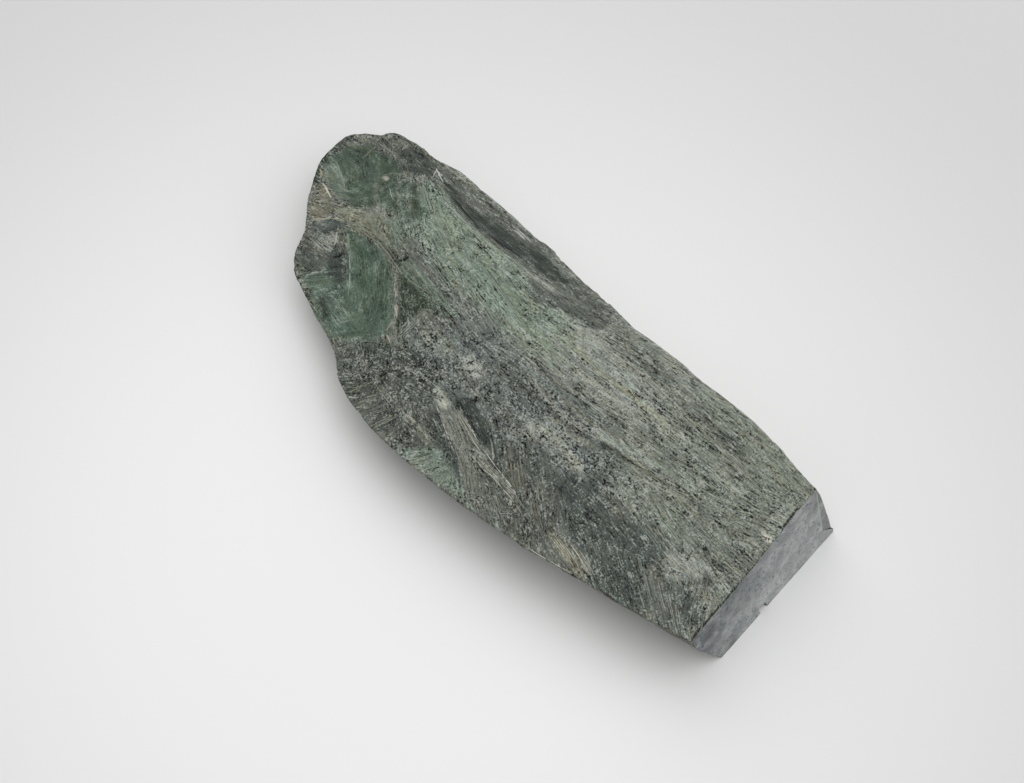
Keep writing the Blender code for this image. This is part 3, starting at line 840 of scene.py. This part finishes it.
print("stone: finish")
finish = {
    "cell": (34.0, 12.0, 12.0),  # mm: a patch whose threads share one direction
    "swing": 0.13,  # radians: how far a patch turns from the grain
    "band": (42.0, 7.0, 7.0),  # mm, along the grain and across it
    "fibre": (11.0, 1.8, 1.8),
    "hair": (5.4, 0.56, 0.56),
    "seam": (26.0, 2.6, 2.6),
    "crumb": 2.4,
    "grit": 0.72,
    "pit": 1.0,
    "cloud": 5.5,
    # How strongly each layer brightens fibrous stone, crumbled stone, and both. The crest and crevice layer
    # is painted light on crests and painted shade in crevices, ledge drops and pits.
    "threads": {"hair": 4.0, "fibre": 2.2, "grit": 4.6, "crumb": 3.2},
    "crumbs": {"crumb": 7.2, "grit": 6.2, "hair": 1.6},
    "everywhere": {"band": 1.9, "crestLightAndCreviceShade": 0.22, "bundle": 0.16},
    "bright": 1.06,
    "contrast": 0.57,
    "warm": (1.05, 1.01, 0.94),
    "cool": (0.95, 1.01, 1.01),
    "rind": (96, 92, 78),
    "rindShare": 0.7,
    "pale": (178, 184, 176),
    "gap": (34, 39, 37),
    # The colour of the painted shade line along the sawn edge.
    "cutEdgeShade": (40, 40, 34),
    "bump": 0.4,  # mm
    "roughness": 0.60,
    "glassSmoother": 0.16,
    "paleSmoother": 0.10,
    "rindRougher": 0.12,
}


def newMaterial(name):
    material = bpy.data.materials.new(name)
    material.use_nodes = True
    material.node_tree.nodes.clear()
    return material, Wire(material.node_tree)


# The spot on the piece that is shaded, in millimetres.
def spotOf(wire):
    return wire.node("ShaderNodeTexCoord", {}, {}, "Object").vector("MULTIPLY", (1 / mm,) * 3)


# A normal that rises and falls with a height of 0 to 1, over that many millimetres.
def bumped(wire, height, depth):
    return wire.node("ShaderNodeBump", {}, {"Height": height, "Distance": depth * mm, "Strength": 1.0})


def close(wire, colour, roughness, normal, specular=0.18):
    shader = wire.node("ShaderNodeBsdfPrincipled", {}, {
        "Base Color": colour, "Roughness": roughness, "Normal": normal, "Specular IOR Level": specular,
    })
    output = wire.tree.nodes.new("ShaderNodeOutputMaterial")
    wire.tree.links.new(shader.socket, output.inputs["Surface"])


def solid(red, green, blue):
    return linear(red, green, blue) + (1.0,)


def makeSplitJade():
    material, wire = newMaterial("splitJade")

    def stored(name, output="Fac"):
        return wire.node("ShaderNodeAttribute", {"attribute_name": name}, {}, output)

    spot = spotOf(wire)
    angle, glassMask, rindMask = stored("grainAngle"), stored("glass"), stored("rind")
    speckle = stored("speckled")

    # In each patch the threads run along the grain, a little turned.
    cellSpot = spot.vector("DIVIDE", finish["cell"])
    centre = wire.node("ShaderNodeTexVoronoi", {}, {"Vector": cellSpot, "Scale": 1.0}, "Position")
    chance = centre.beside("Color")
    swing = wire.node("ShaderNodeSeparateXYZ", {}, {0: chance}) - 0.5
    offset = cellSpot.vector("SUBTRACT", centre).vector("MULTIPLY", finish["cell"])
    turned = wire.node("ShaderNodeVectorRotate", {"rotation_type": "Z_AXIS"},
                       {"Vector": offset, "Angle": 0.0 - (angle + swing * (2 * finish["swing"]))})
    turned = turned.vector("ADD", chance.vector("MULTIPLY", (90.0,) * 3))
    band = turned.noise(finish["band"], 3.0, 0.6) - 0.5
    fibre = turned.noise(finish["fibre"], 2.0, 0.6) - 0.5
    hair = turned.noise(finish["hair"], 1.0, 0.6) - 0.5
    seam = turned.noise(finish["seam"], 2.0, 0.5)
    crumb = spot.noise(finish["crumb"], 4.0, 0.75) - 0.5
    grit = spot.noise(finish["grit"], 1.0, 0.5) - 0.5
    cloud = spot.noise(finish["cloud"], 4.0, 0.65)
    busy = wire.node("ShaderNodeSeparateXYZ", {}, {0: cloud.beside("Color")}, 2).step(0.38, 0.62)
    clear = 1 - glassMask * 0.5

    layers = {"hair": hair, "fibre": fibre, "grit": grit, "crumb": crumb, "band": band,
              "crestLightAndCreviceShade": stored("crestLightAndCreviceShade"), "bundle": stored("bundleTone")}

    def added(shares, start=0.0):
        return sum((layers[name] * share for name, share in shares.items()), start)

    threads = added(finish["threads"])
    value = threads + (added(finish["crumbs"]) - threads) * speckle
    value = added(finish["everywhere"], value * (0.62 + busy * 0.8) * clear)
    value = value + (cloud - 0.5) * (1.4 + speckle + glassMask * 2.4)
    body = stored("stoneColour", "Color")
    body = body.mixed(body.times(*finish["warm"]), seam.step(0.5, 0.62))
    body = body.mixed(body.times(*finish["cool"]), seam.step(0.48, 0.36))
    body = body.mixed(solid(*finish["rind"]), rindMask * finish["rindShare"])
    body = body.brighter(finish["bright"] + value * finish["contrast"])
    pale = value.step(0.25, 1.5)
    lit = seam.lines(0.014) * busy * 0.3
    body = body.mixed(solid(*finish["pale"]), (pale * 0.65 + lit) * clear)
    # The gap colour goes where the value is lowest, which includes the painted shade of deep crevices.
    gaps = (0.0 - value).step(0.85, 1.5) * 0.7
    pits = spot.noise(finish["pit"], 0.0).step(0.70, 0.77) * crumb.step(-0.05, 0.12) * (0.3 + speckle * 0.7)
    gaps = gaps + (1 - gaps) * pits * 0.9
    body = body.mixed(solid(*finish["gap"]), gaps * clear)
    # Painted shade along the sawn end's top edge.
    body = body.mixed(solid(*finish["cutEdgeShade"]), stored("cutEdge").step(0.1, 0.6) * 0.9)
    roughness = finish["roughness"] - glassMask * finish["glassSmoother"] - pale * finish["paleSmoother"]
    roughness = roughness + rindMask * finish["rindRougher"]
    bumpHeight = (value * 0.25 - gaps * 0.25) * (1 - glassMask * 0.5)
    close(wire, body, roughness, bumped(wire, bumpHeight, finish["bump"]))
    return material


# The end that was sawn and the small facet beside it, which has a pale band along their shared edge.
sawn = {
    "ground": (178, 181, 180),
    "facetGround": (140, 143, 140),
    "dull": (98, 102, 103),
    "specks": (66, 74, 88),
    "light": (172, 175, 172),
    "band": (178, 180, 175),
    "bandEdge": (0.096, 0.036),  # mm below the end's plane, from where the band starts to where it is full
    # Painted shade on the sawn end: darker towards its top and towards its near side.
    "paintedShade": (6.0, 24.0),  # mm up the sawn end, from its light foot to its darker top
    "shadedSide": (16.0, -34.0),  # mm across it, to its darker side
    "cloud": 8.0,  # mm, the sizes of its marks, three for those that are stretched
    "patch": (6.5, 6.5, 3.6),
    "grit": 1.0,
    "speck": (1.7, 1.3, 0.9),
    "scratch": (11.0, 11.0, 0.8),
    "bump": 0.15,
}


def makeSawnJade(name, ground, band=None):
    material, wire = newMaterial(name)
    spot = spotOf(wire)
    across = wire.node("ShaderNodeSeparateXYZ", {}, {0: spot}, "Y")
    high = across.beside("Z")
    cloud = spot.noise(sawn["cloud"], 4.0, 0.65)
    patch = spot.noise(sawn["patch"], 4.0, 0.65)
    grit = spot.noise(sawn["grit"], 2.0, 0.7)
    specks = spot.noise(sawn["speck"], 2.0, 0.6)
    scratch = spot.noise(sawn["scratch"], 3.0, 0.6)
    body = spot.mixed(solid(*ground), 1.0)
    # Painted shade: the sawn end darkens towards its top and its near side, in the dull colour.
    paintedShade = high.step(*sawn["paintedShade"]) * 0.4 + across.step(*sawn["shadedSide"]) * 0.8
    body = body.mixed(solid(*sawn["dull"]), cloud.step(0.44, 0.58) * 0.35)
    body = body.mixed(solid(*sawn["dull"]), paintedShade)
    body = body.mixed(solid(*sawn["light"]), cloud.step(0.52, 0.40) * 0.35)
    body = body.brighter(1.03 + (patch - 0.5) * (1.2 + paintedShade * 1.3) + (grit - 0.5) * 0.6)
    body = body.mixed(solid(*sawn["specks"]), specks.step(0.57, 0.65) * patch.step(0.44, 0.54) * 0.75)
    body = body.mixed(solid(*sawn["light"]), specks.step(0.38, 0.30) * 0.35)
    body = body.mixed(solid(*sawn["light"]), scratch.lines(0.02) * patch.step(0.5, 0.4) * 0.6)
    body = body.mixed(solid(*sawn["specks"]), scratch.lines(0.016) * patch.step(0.48, 0.58) * 0.8)
    if band:
        normal, offset = band
        along = wire.node("ShaderNodeVectorMath", {"operation": "DOT_PRODUCT"}, {0: spot, 1: normal}, 1)
        body = body.mixed(solid(*sawn["band"]), (offset - along).step(*sawn["bandEdge"]) * 0.8)
    roughness = 0.5 + cloud * 0.1
    close(wire, body, roughness, bumped(wire, scratch * 0.4 + specks * 0.3, sawn["bump"]))
    return material


def finishStone():
    fine.materials.clear()
    fine.materials.append(makeSplitJade())
    fine.materials.append(makeSawnJade("sawnJade", sawn["ground"]))
    cuts = [face for face in fine.polygons if faceSawn[face.index]]
    upright = sorted((face for face in cuts if face.normal.z > -0.5), key=lambda face: -face.area)
    endNormal = tuple(upright[0].normal)
    offset = float(upright[0].center.dot(upright[0].normal)) / mm
    fine.materials.append(makeSawnJade("facetJade", sawn["facetGround"], (endNormal, offset)))
    slots = faceSawn.astype(np.int32)
    for face in upright[1:]:
        slots[face.index] = 2
    fine.polygons.foreach_set("material_index", slots)
    fine.polygons.foreach_set("use_smooth", ~faceSawn)
    fine.update()
    stone = bpy.data.objects.new("jade_stone", fine)
    scene.collection.objects.link(stone)
    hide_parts("jade_boulder")
    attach(stone, "root")


finishStone()

print("splinters")
splinters = {
    "seed": 9,
    "width": (0.26, 0.46),  # mm
    "rise": (0.04, 0.12),
    "sink": 0.08,
    "lift": 0.04,
    "scattered": [  # how many, their length in mm from least to most, their turn in degrees and stations
        (3000, (2.0, 5.0), 9.0, 4),
        (1100, (4.0, 11.0), 6.0, 6),
        (130, (12.0, 26.0), 4.0, 10),
    ],
    "inGlass": 0.3,  # the share kept where the stone split cleanly
    "brighter": (1.2, 2.0),  # times the stone's own colour
    "darker": (0.3, 0.6),
    "darkShare": 0.09,
    "greener": (0.98, 1.04),
    "bluer": (0.90, 1.02),
    "bend": 0.03,  # of a splinter's length
    "speck": 0.9,  # mm
    "bump": 0.15,
    "sheafStations": 9,
    "sheafEnds": (0.35, 0.65),  # the latest that a splinter starts along its sheaf, and the earliest it ends
    "sheafStray": 0.05,  # mm
    "sheafWidth": (0.7, 1.1),  # times the sheaf's own
    "sheafBrighter": (0.9, 1.35),
    "sheafDarker": (0.3, 0.6),
}
# Sheaves: a line of pixels, the width in mm, how many splinters, their width in mm and their colour.
sheaves = {
    "bladeALeft": ([(436, 404), (441, 418), (448, 436), (454, 452)], 0.8, 3, 0.5, (178, 178, 168)),
    "bladeA": ([(446, 408), (456, 430), (464, 456), (470, 480)], 4.4, 12, 0.45, (146, 146, 136)),
    "bladeARight": ([(455, 410), (466, 432), (472, 452)], 0.8, 3, 0.4, (160, 158, 146)),
    "bladeB": ([(456, 406), (468, 426), (478, 444), (490, 462)], 2.0, 9, 0.45, (170, 170, 158)),
    "ribbon": ([(474, 450), (486, 466), (502, 482), (516, 498), (526, 514)], 3.0, 13, 0.42, (178, 180, 168)),
    "ribbonEdge": ([(482, 448), (494, 464), (510, 484), (520, 500)], 0.5, 3, 0.4, (196, 196, 184)),
    "fibresA": ([(468, 460), (470, 480), (474, 504)], 4.4, 12, 0.38, (136, 138, 128)),
    "fibresB": ([(486, 478), (492, 500), (500, 524)], 5.0, 13, 0.38, (132, 134, 124)),
    "fibresC": ([(514, 448), (518, 480), (524, 508)], 4.6, 12, 0.38, (136, 134, 118)),
    "fibresD": ([(530, 490), (534, 512), (540, 536)], 5.0, 12, 0.38, (136, 134, 120)),
    "paleStroke": ([(491, 438), (493, 453), (495, 468)], 0.7, 4, 0.4, (170, 174, 164)),
    "tanStroke": ([(541, 480), (538, 490), (536, 502)], 0.7, 4, 0.4, (160, 155, 138)),
    "yellowRib": ([(345, 392), (360, 387), (377, 380)], 0.9, 4, 0.45, (144, 147, 128)),
    "ribLine": ([(376, 384), (384, 396), (394, 408)], 0.6, 3, 0.45, (156, 160, 146)),
    "tanLine": ([(396, 406), (409, 417), (420, 427), (430, 441)], 1.0, 5, 0.5, (176, 174, 160)),
    "veinA": ([(394, 287), (396, 291), (397, 297)], 1.0, 4, 0.8, (162, 156, 144)),
    "veinB": ([(395, 303), (397, 311), (398, 318)], 1.1, 4, 0.8, (166, 160, 148)),
    "veinC": ([(392, 322), (389, 326), (387, 331)], 1.0, 4, 0.8, (156, 150, 139)),
    "veinD": ([(387, 334), (389, 338), (391, 343)], 1.0, 4, 0.8, (164, 158, 146)),
    "ridgeCrack": ([(398, 262), (403, 260), (408, 257)], 0.5, 3, 0.8, (22, 24, 21)),
    "ridgeSpot": ([(438, 268), (440, 270), (442, 271)], 0.6, 3, 0.8, (24, 26, 23)),
    "wedgeCrack": ([(333, 257), (338, 256), (342, 253)], 0.6, 3, 0.9, (14, 18, 14)),
    "ridgeChip": ([(400, 250), (402, 251), (405, 251)], 0.5, 2, 0.7, (168, 168, 158)),
    # Painted shadow: dark strokes along the foot of the crest where its shadow falls.
    "crestShadowLineA": ([(447, 191), (463, 209), (481, 229)], 1.0, 4, 0.5, (30, 34, 31)),
    "crestShadowLineB": ([(487, 233), (505, 246), (524, 259)], 1.2, 4, 0.5, (34, 38, 35)),
    "whiteFibres": ([(515, 228), (520, 232), (527, 239)], 1.6, 6, 0.45, (176, 178, 174)),
    "wallEdge": ([(334, 158), (339, 167), (343, 180), (345, 187)], 0.4, 2, 0.7, (140, 152, 138)),
    "wallStroke": ([(323, 183), (327, 190), (331, 198)], 0.4, 2, 0.8, (184, 181, 166)),
    "wallTan": ([(320, 168), (321, 172), (321, 177)], 0.4, 2, 0.9, (142, 134, 112)),
    "bowlStreakC": ([(389, 187), (391, 194), (393, 200)], 0.2, 1, 0.7, (150, 158, 148)),
    "bowlStreakF": ([(424, 186), (427, 200), (432, 214)], 2.4, 6, 0.9, (124, 138, 124)),
    "bowlArc": ([(381, 175), (392, 173), (402, 174), (414, 179)], 0.3, 2, 0.5, (150, 158, 146)),
    "rimStreakA": ([(378, 143), (386, 148), (395, 155)], 0.8, 2, 0.8, (138, 138, 132)),
    "rimStreakB": ([(401, 151), (405, 147), (409, 143)], 0.5, 2, 0.7, (140, 141, 136)),
    "rimStreakC": ([(363, 158), (368, 153), (373, 148)], 0.6, 2, 0.7, (116, 116, 102)),
    "whiteV": ([(437, 167), (440, 174), (444, 182)], 0.6, 2, 0.8, (186, 188, 186)),
    "whiteVTwo": ([(437, 167), (435, 172), (433, 177)], 0.3, 1, 0.6, (160, 164, 160)),
    "lensLine": ([(309, 222), (318, 219), (332, 218), (348, 222)], 0.5, 2, 0.8, (158, 158, 144)),
    "wedgeTop": ([(318, 235), (326, 236), (335, 235)], 0.7, 3, 0.9, (160, 162, 150)),
    "wedgeLeft": ([(309, 237), (316, 243), (323, 250)], 0.8, 3, 0.9, (160, 162, 152)),
    "wedgeRight": ([(339, 225), (337, 236), (334, 247)], 0.6, 3, 0.8, (176, 180, 170)),
    "scoopLine": ([(347, 232), (348, 240), (349, 248)], 0.6, 2, 0.9, (136, 154, 132)),
    "scoopLineTwo": ([(349, 250), (350, 268), (350, 283), (348, 296)], 0.2, 2, 0.5, (158, 168, 154)),
    "leaf": ([(303, 280), (308, 275), (316, 273), (328, 272)], 0.6, 2, 1.1, (142, 150, 142)),
    "septumRim": ([(352, 226), (366, 235), (377, 241), (385, 250), (392, 260), (401, 272), (418, 287),
                   (438, 298)], 0.3, 2, 0.6, (142, 144, 130)),
    "leftSpot": ([(298, 268), (302, 274), (306, 276)], 0.8, 3, 0.4, (136, 142, 132)),
    "scoopRim": ([(338, 338), (352, 341), (370, 341), (386, 344)], 0.5, 3, 0.42, (142, 152, 141)),
    "scoopRimTwo": ([(334, 352), (346, 348), (356, 340)], 0.6, 3, 0.42, (132, 140, 128)),
    "diagonal": ([(427, 312), (412, 325), (402, 336), (394, 348)], 2.6, 9, 0.45, (144, 152, 142)),
    "rimChips": ([(336, 318), (342, 322), (350, 320)], 0.7, 3, 0.5, (152, 158, 146)),
    "ribsOne": ([(354, 402), (364, 399), (380, 394)], 2.4, 6, 0.42, (140, 145, 132)),
    "ribsTwo": ([(362, 412), (370, 408), (386, 401)], 2.2, 6, 0.42, (134, 138, 126)),
    "ribsThree": ([(372, 428), (384, 421), (397, 414)], 1.8, 5, 0.4, (150, 152, 138)),
    "fanLines": ([(411, 463), (420, 458), (438, 452)], 4.0, 9, 0.4, (142, 150, 139)),
    "rimLine": ([(528, 548), (538, 554), (548, 560)], 0.4, 3, 0.5, (202, 202, 188)),
    "rimLineTwo": ([(548, 560), (560, 567), (572, 574)], 0.4, 2, 0.45, (176, 174, 160)),
    "crestLine": ([(430, 186), (446, 202), (460, 220), (478, 236), (500, 254), (523, 268)],
                  0.6, 5, 0.42, (160, 168, 158)),
    "chipsTwo": ([(414, 178), (420, 181), (426, 183)], 1.0, 4, 0.5, (152, 158, 150)),
    "bandStreaks": ([(512, 222), (524, 233), (536, 244)], 1.6, 6, 0.42, (174, 176, 170)),
    "bandStreaksTwo": ([(548, 256), (562, 268), (578, 284)], 1.8, 5, 0.42, (138, 142, 136)),
    "yellowOne": ([(580, 350), (600, 371), (630, 394)], 1.6, 6, 0.4, (158, 160, 140)),
    "yellowTwo": ([(632, 457), (656, 479), (676, 495)], 0.8, 4, 0.4, (160, 164, 142)),
    "ledgeLine": ([(531, 380), (549, 402), (567, 420), (584, 432), (608, 440)],
                  0.5, 4, 0.4, (150, 147, 134)),
    "paleOne": ([(630, 362), (665, 396), (700, 430)], 1.6, 8, 0.4, (172, 174, 166)),
    "paleTwo": ([(700, 430), (732, 458), (766, 494)], 1.4, 7, 0.4, (160, 163, 154)),
    "paleThree": ([(545, 330), (575, 360), (610, 396)], 1.6, 7, 0.4, (162, 168, 160)),
    "paleFour": ([(556, 372), (586, 402), (618, 428)], 1.4, 6, 0.4, (160, 164, 156)),
    "paleFive": ([(470, 250), (500, 290), (530, 330)], 1.4, 6, 0.4, (152, 162, 150)),
    "streak": ([(617, 476), (621, 490), (626, 504)], 0.8, 4, 0.42, (172, 178, 168)),
    "endStreak": ([(702, 563), (710, 574), (716, 584)], 0.7, 4, 0.45, (178, 180, 172)),
    "endTan": ([(704, 588), (706, 596), (710, 604)], 1.6, 6, 0.45, (164, 158, 138)),
    "endFibresA": ([(655, 580), (660, 600), (666, 622)], 3.4, 6, 0.5, (140, 144, 137)),
    "endFibresB": ([(668, 590), (673, 610), (678, 632)], 2.6, 4, 0.5, (146, 147, 137)),
    "endFibresC": ([(640, 556), (648, 580), (654, 604)], 3.0, 5, 0.5, (128, 134, 126)),
    "rimFibresA": ([(552, 534), (566, 552), (580, 574)], 3.0, 12, 0.45, (182, 181, 166)),
    "rimFibresB": ([(572, 542), (584, 560), (596, 582)], 2.2, 9, 0.45, (172, 171, 158)),
    "featherA": ([(660, 516), (672, 530), (684, 546)], 1.8, 7, 0.42, (152, 164, 152)),
    "featherB": ([(640, 520), (654, 538), (668, 556)], 2.4, 8, 0.4, (132, 142, 134)),
    "featherC": ([(690, 522), (708, 540), (728, 558)], 2.6, 8, 0.4, (146, 150, 140)),
}
surface = BVHTree.FromPolygons([Vector(spot) for spot in moved],
                               [tuple(face.vertices) for face in fine.polygons if not faceSawn[face.index]])
splinterPoints, splinterFaces, splinterColours, splinterSpots = [], [], [], []
pick = np.random.default_rng(splinters["seed"])


# A closed sliver with pointed ends that lies along those points and is sunk a little into the stone.
def addSplinter(path, width, rise, shadeColour):
    found = [surface.find_nearest(Vector(spot)) for spot in path]
    ridge = np.array([hit[0] for hit in found])
    up = unit(np.array([hit[1] for hit in found]))
    ahead = unit(np.gradient(ridge, axis=0))
    across = unit(np.cross(up, ahead))
    t = np.linspace(-1, 1, len(path))[:, None]
    half = 0.5 * width * np.sqrt(1 - t**2)
    left = ridge - half * across - splinters["sink"] * up
    right = ridge + half * across - splinters["sink"] * up
    crown = ridge + (rise * np.sqrt(1 - t**2) + splinters["lift"]) * up
    first = len(splinterPoints)
    last = len(path) - 1
    splinterPoints.append(ridge[0])
    for station in range(1, last):
        splinterPoints.extend((left[station], crown[station], right[station]))
    splinterPoints.append(ridge[last])
    tip = first + 1 + 3 * (last - 1)
    lefts = range(first + 1, tip, 3)
    faces = [(first, lefts[0] + side, lefts[0] + (side + 1) % 3) for side in range(3)]
    spots = [((0, side + 0.5), (1, side), (1, side + 1)) for side in range(3)]
    for station, a in enumerate(lefts[:-1], 1):
        faces += [(a + side, a + 3 + side, a + 3 + (side + 1) % 3, a + (side + 1) % 3) for side in range(3)]
        spots += [((station, side), (station + 1, side), (station + 1, side + 1), (station, side + 1))
                  for side in range(3)]
    faces += [(tip, lefts[-1] + (side + 1) % 3, lefts[-1] + side) for side in range(3)]
    spots += [((last, side + 0.5), (last - 1, side + 1), (last - 1, side)) for side in range(3)]
    splinterFaces.extend(faces)
    splinterSpots.append(np.array([corner for face in spots for corner in face]) / (last, 3))
    splinterColours.extend([shadeColour] * (tip + 1 - first))


def scatterSplinters():
    keep = 1 - (1 - splinters["inGlass"]) * glass
    for count, lengths, turn, stations in splinters["scattered"]:
        made = 0
        while made < count:
            centre = pick.integers(points)
            if pick.random() > keep[centre] * onSlope[centre]:
                continue
            angle = grainAngle[centre] + math.radians(pick.normal(0, turn))
            ahead = np.array([math.cos(angle), math.sin(angle), 0.0])
            ahead = unit(ahead - ahead @ skinNormal[centre] * skinNormal[centre])
            side = np.cross(skinNormal[centre], ahead)
            t = np.linspace(-0.5, 0.5, stations)[:, None]
            length = pick.uniform(*lengths)
            bend = pick.normal(0, splinters["bend"])
            path = moved[centre] + t * length * ahead + bend * length * t**2 * side
            shift = "darker" if pick.random() < splinters["darkShare"] else "brighter"
            gain = pick.uniform(*splinters[shift])
            tint = np.array((1.0, pick.uniform(*splinters["greener"]), pick.uniform(*splinters["bluer"])))
            addSplinter(path, pick.uniform(*splinters["width"]), pick.uniform(*splinters["rise"]),
                        colour[centre] * gain * tint)
            made += 1


# Points at those parts of a path's length, from 0 to 1.
def followed(path, stations):
    steps = np.linalg.norm(np.diff(path, axis=0), axis=1)
    passed = np.concatenate([[0], np.cumsum(steps)]) / steps.sum()
    return np.stack([np.interp(stations, passed, path[:, axis]) for axis in range(3)], axis=1)


def addSheaf(pixels, spread, count, width, shadeColour):
    path = np.array([onStone(pixel) for pixel in pixels])
    shadeColour = np.array(linear(*shadeColour))
    stations = splinters["sheafStations"]
    latest, earliest = splinters["sheafEnds"]
    for number in range(count):
        start, end = pick.uniform(0, latest), pick.uniform(earliest, 1.0)
        if number < 2:
            start, end = 0.0, 1.0
        line = followed(path, np.linspace(start, end, stations))
        ahead = unit(np.gradient(line, axis=0))
        side = np.stack([-ahead[:, 1], ahead[:, 0], np.zeros(stations)], axis=1)
        stray = pick.normal(0, splinters["sheafStray"], (stations, 1))
        off = spread * ((number + 0.5) / count - 0.5) + stray
        gain = pick.uniform(*splinters["sheafDarker" if number % 3 == 2 else "sheafBrighter"])
        addSplinter(line + off * side, width * pick.uniform(*splinters["sheafWidth"]),
                    pick.uniform(*splinters["rise"]), shadeColour * gain)


def makeSplinters():
    mesh = bpy.data.meshes.new("splinters")
    mesh.from_pydata(np.array(splinterPoints) * mm, [], splinterFaces)
    shades = mesh.attributes.new("splinterColour", "FLOAT_COLOR", "POINT")
    values = np.hstack([np.array(splinterColours), np.ones((len(splinterPoints), 1))])
    shades.data.foreach_set("color", values.astype(np.float32).ravel())
    cells = math.ceil(math.sqrt(len(splinterSpots)))
    chart = [(np.array((number % cells, number // cells)) + 0.08 + 0.84 * spots) / cells
             for number, spots in enumerate(splinterSpots)]
    addChart(mesh, np.concatenate(chart))
    material, wire = newMaterial("splinterJade")
    spot = spotOf(wire)
    body = wire.node("ShaderNodeAttribute", {"attribute_name": "splinterColour"}, {}, "Color")
    speck = spot.noise(splinters["speck"], 3.0, 0.7)
    body = body.brighter(0.6 + speck * 0.8)
    close(wire, body, 0.5 + speck * 0.1, bumped(wire, speck, splinters["bump"]))
    mesh.materials.append(material)
    piece = bpy.data.objects.new("jade_splinters", mesh)
    scene.collection.objects.link(piece)
    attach(piece, "root")
    print("splinters:", sum(len(face) - 2 for face in splinterFaces), "triangles")


scatterSplinters()
for sheaf in sheaves.values():
    addSheaf(*sheaf)
makeSplinters()

print("stage")
studio = {
    "floor": 3.0,  # m
    "floorColour": (249, 249, 249),
    # Painted light and shade on the floor: a bright pool round its middle, darker further out.
    "floorShade": (0.72, 0.72, 0.72),  # how much darker it is far from its bright middle
    "floorLitMiddle": (15.0, -85.0, 0.0),  # mm
    "floorReach": (50.0, 340.0),  # mm from there, to where it starts to darken and where it is darkest
    "floorRoughness": 0.85,
    "floorSheen": 0.2,
    "ambient": 0.43,
    # Each lamp: the way it lies from the stone in degrees from +X, its height, distance, size and power.
    "lamps": [(28.0, 50.0, 1.1, 1.25, 4.05), (152.0, 46.0, 1.2, 1.15, 5.1), (0.0, 90.0, 1.3, 1.0, 2.6)],
}


def makeFloor():
    mesh = bpy.data.meshes.new("floor")
    half = studio["floor"] / 2
    bm = bmesh.new()
    bmesh.ops.create_grid(bm, x_segments=1, y_segments=1, size=half)
    bm.to_mesh(mesh)
    bm.free()
    floor = bpy.data.objects.new("floor", mesh)
    scene.collection.objects.link(floor)
    material, wire = newMaterial("floor")
    spot = spotOf(wire)
    measure = {"operation": "DISTANCE"}
    away = spot.node("ShaderNodeVectorMath", measure, {0: spot, 1: studio["floorLitMiddle"]}, 1)
    colour = spot.mixed(solid(*studio["floorColour"]), 1.0)
    # Painted shade: the floor darkens away from its painted bright middle.
    colour = colour.mixed(colour.times(*studio["floorShade"]), away.step(*studio["floorReach"]))
    normal = wire.node("ShaderNodeNewGeometry", {}, {}, "Normal")
    close(wire, colour, studio["floorRoughness"], normal, studio["floorSheen"])
    mesh.materials.append(material)


def makeLights():
    world = bpy.data.worlds.new("studio")
    scene.world = world
    world.use_nodes = True
    background = world.node_tree.nodes["Background"]
    background.inputs["Color"].default_value = (1.0, 1.0, 1.0, 1.0)
    background.inputs["Strength"].default_value = studio["ambient"]
    for number, (way, rise, distance, size, power) in enumerate(studio["lamps"]):
        data = bpy.data.lights.new(f"lamp{number}", "AREA")
        data.shape, data.size, data.energy = "SQUARE", size, power
        lamp = bpy.data.objects.new(f"lamp{number}", data)
        way, rise = math.radians(way), math.radians(rise)
        level = math.cos(rise)
        lamp.location = Vector((math.cos(way) * level, math.sin(way) * level, math.sin(rise))) * distance
        lamp.rotation_euler = (-lamp.location).to_track_quat("-Z", "Y").to_euler()
        scene.collection.objects.link(lamp)
    scene.view_settings.view_transform = "Standard"


makeFloor()
makeLights()
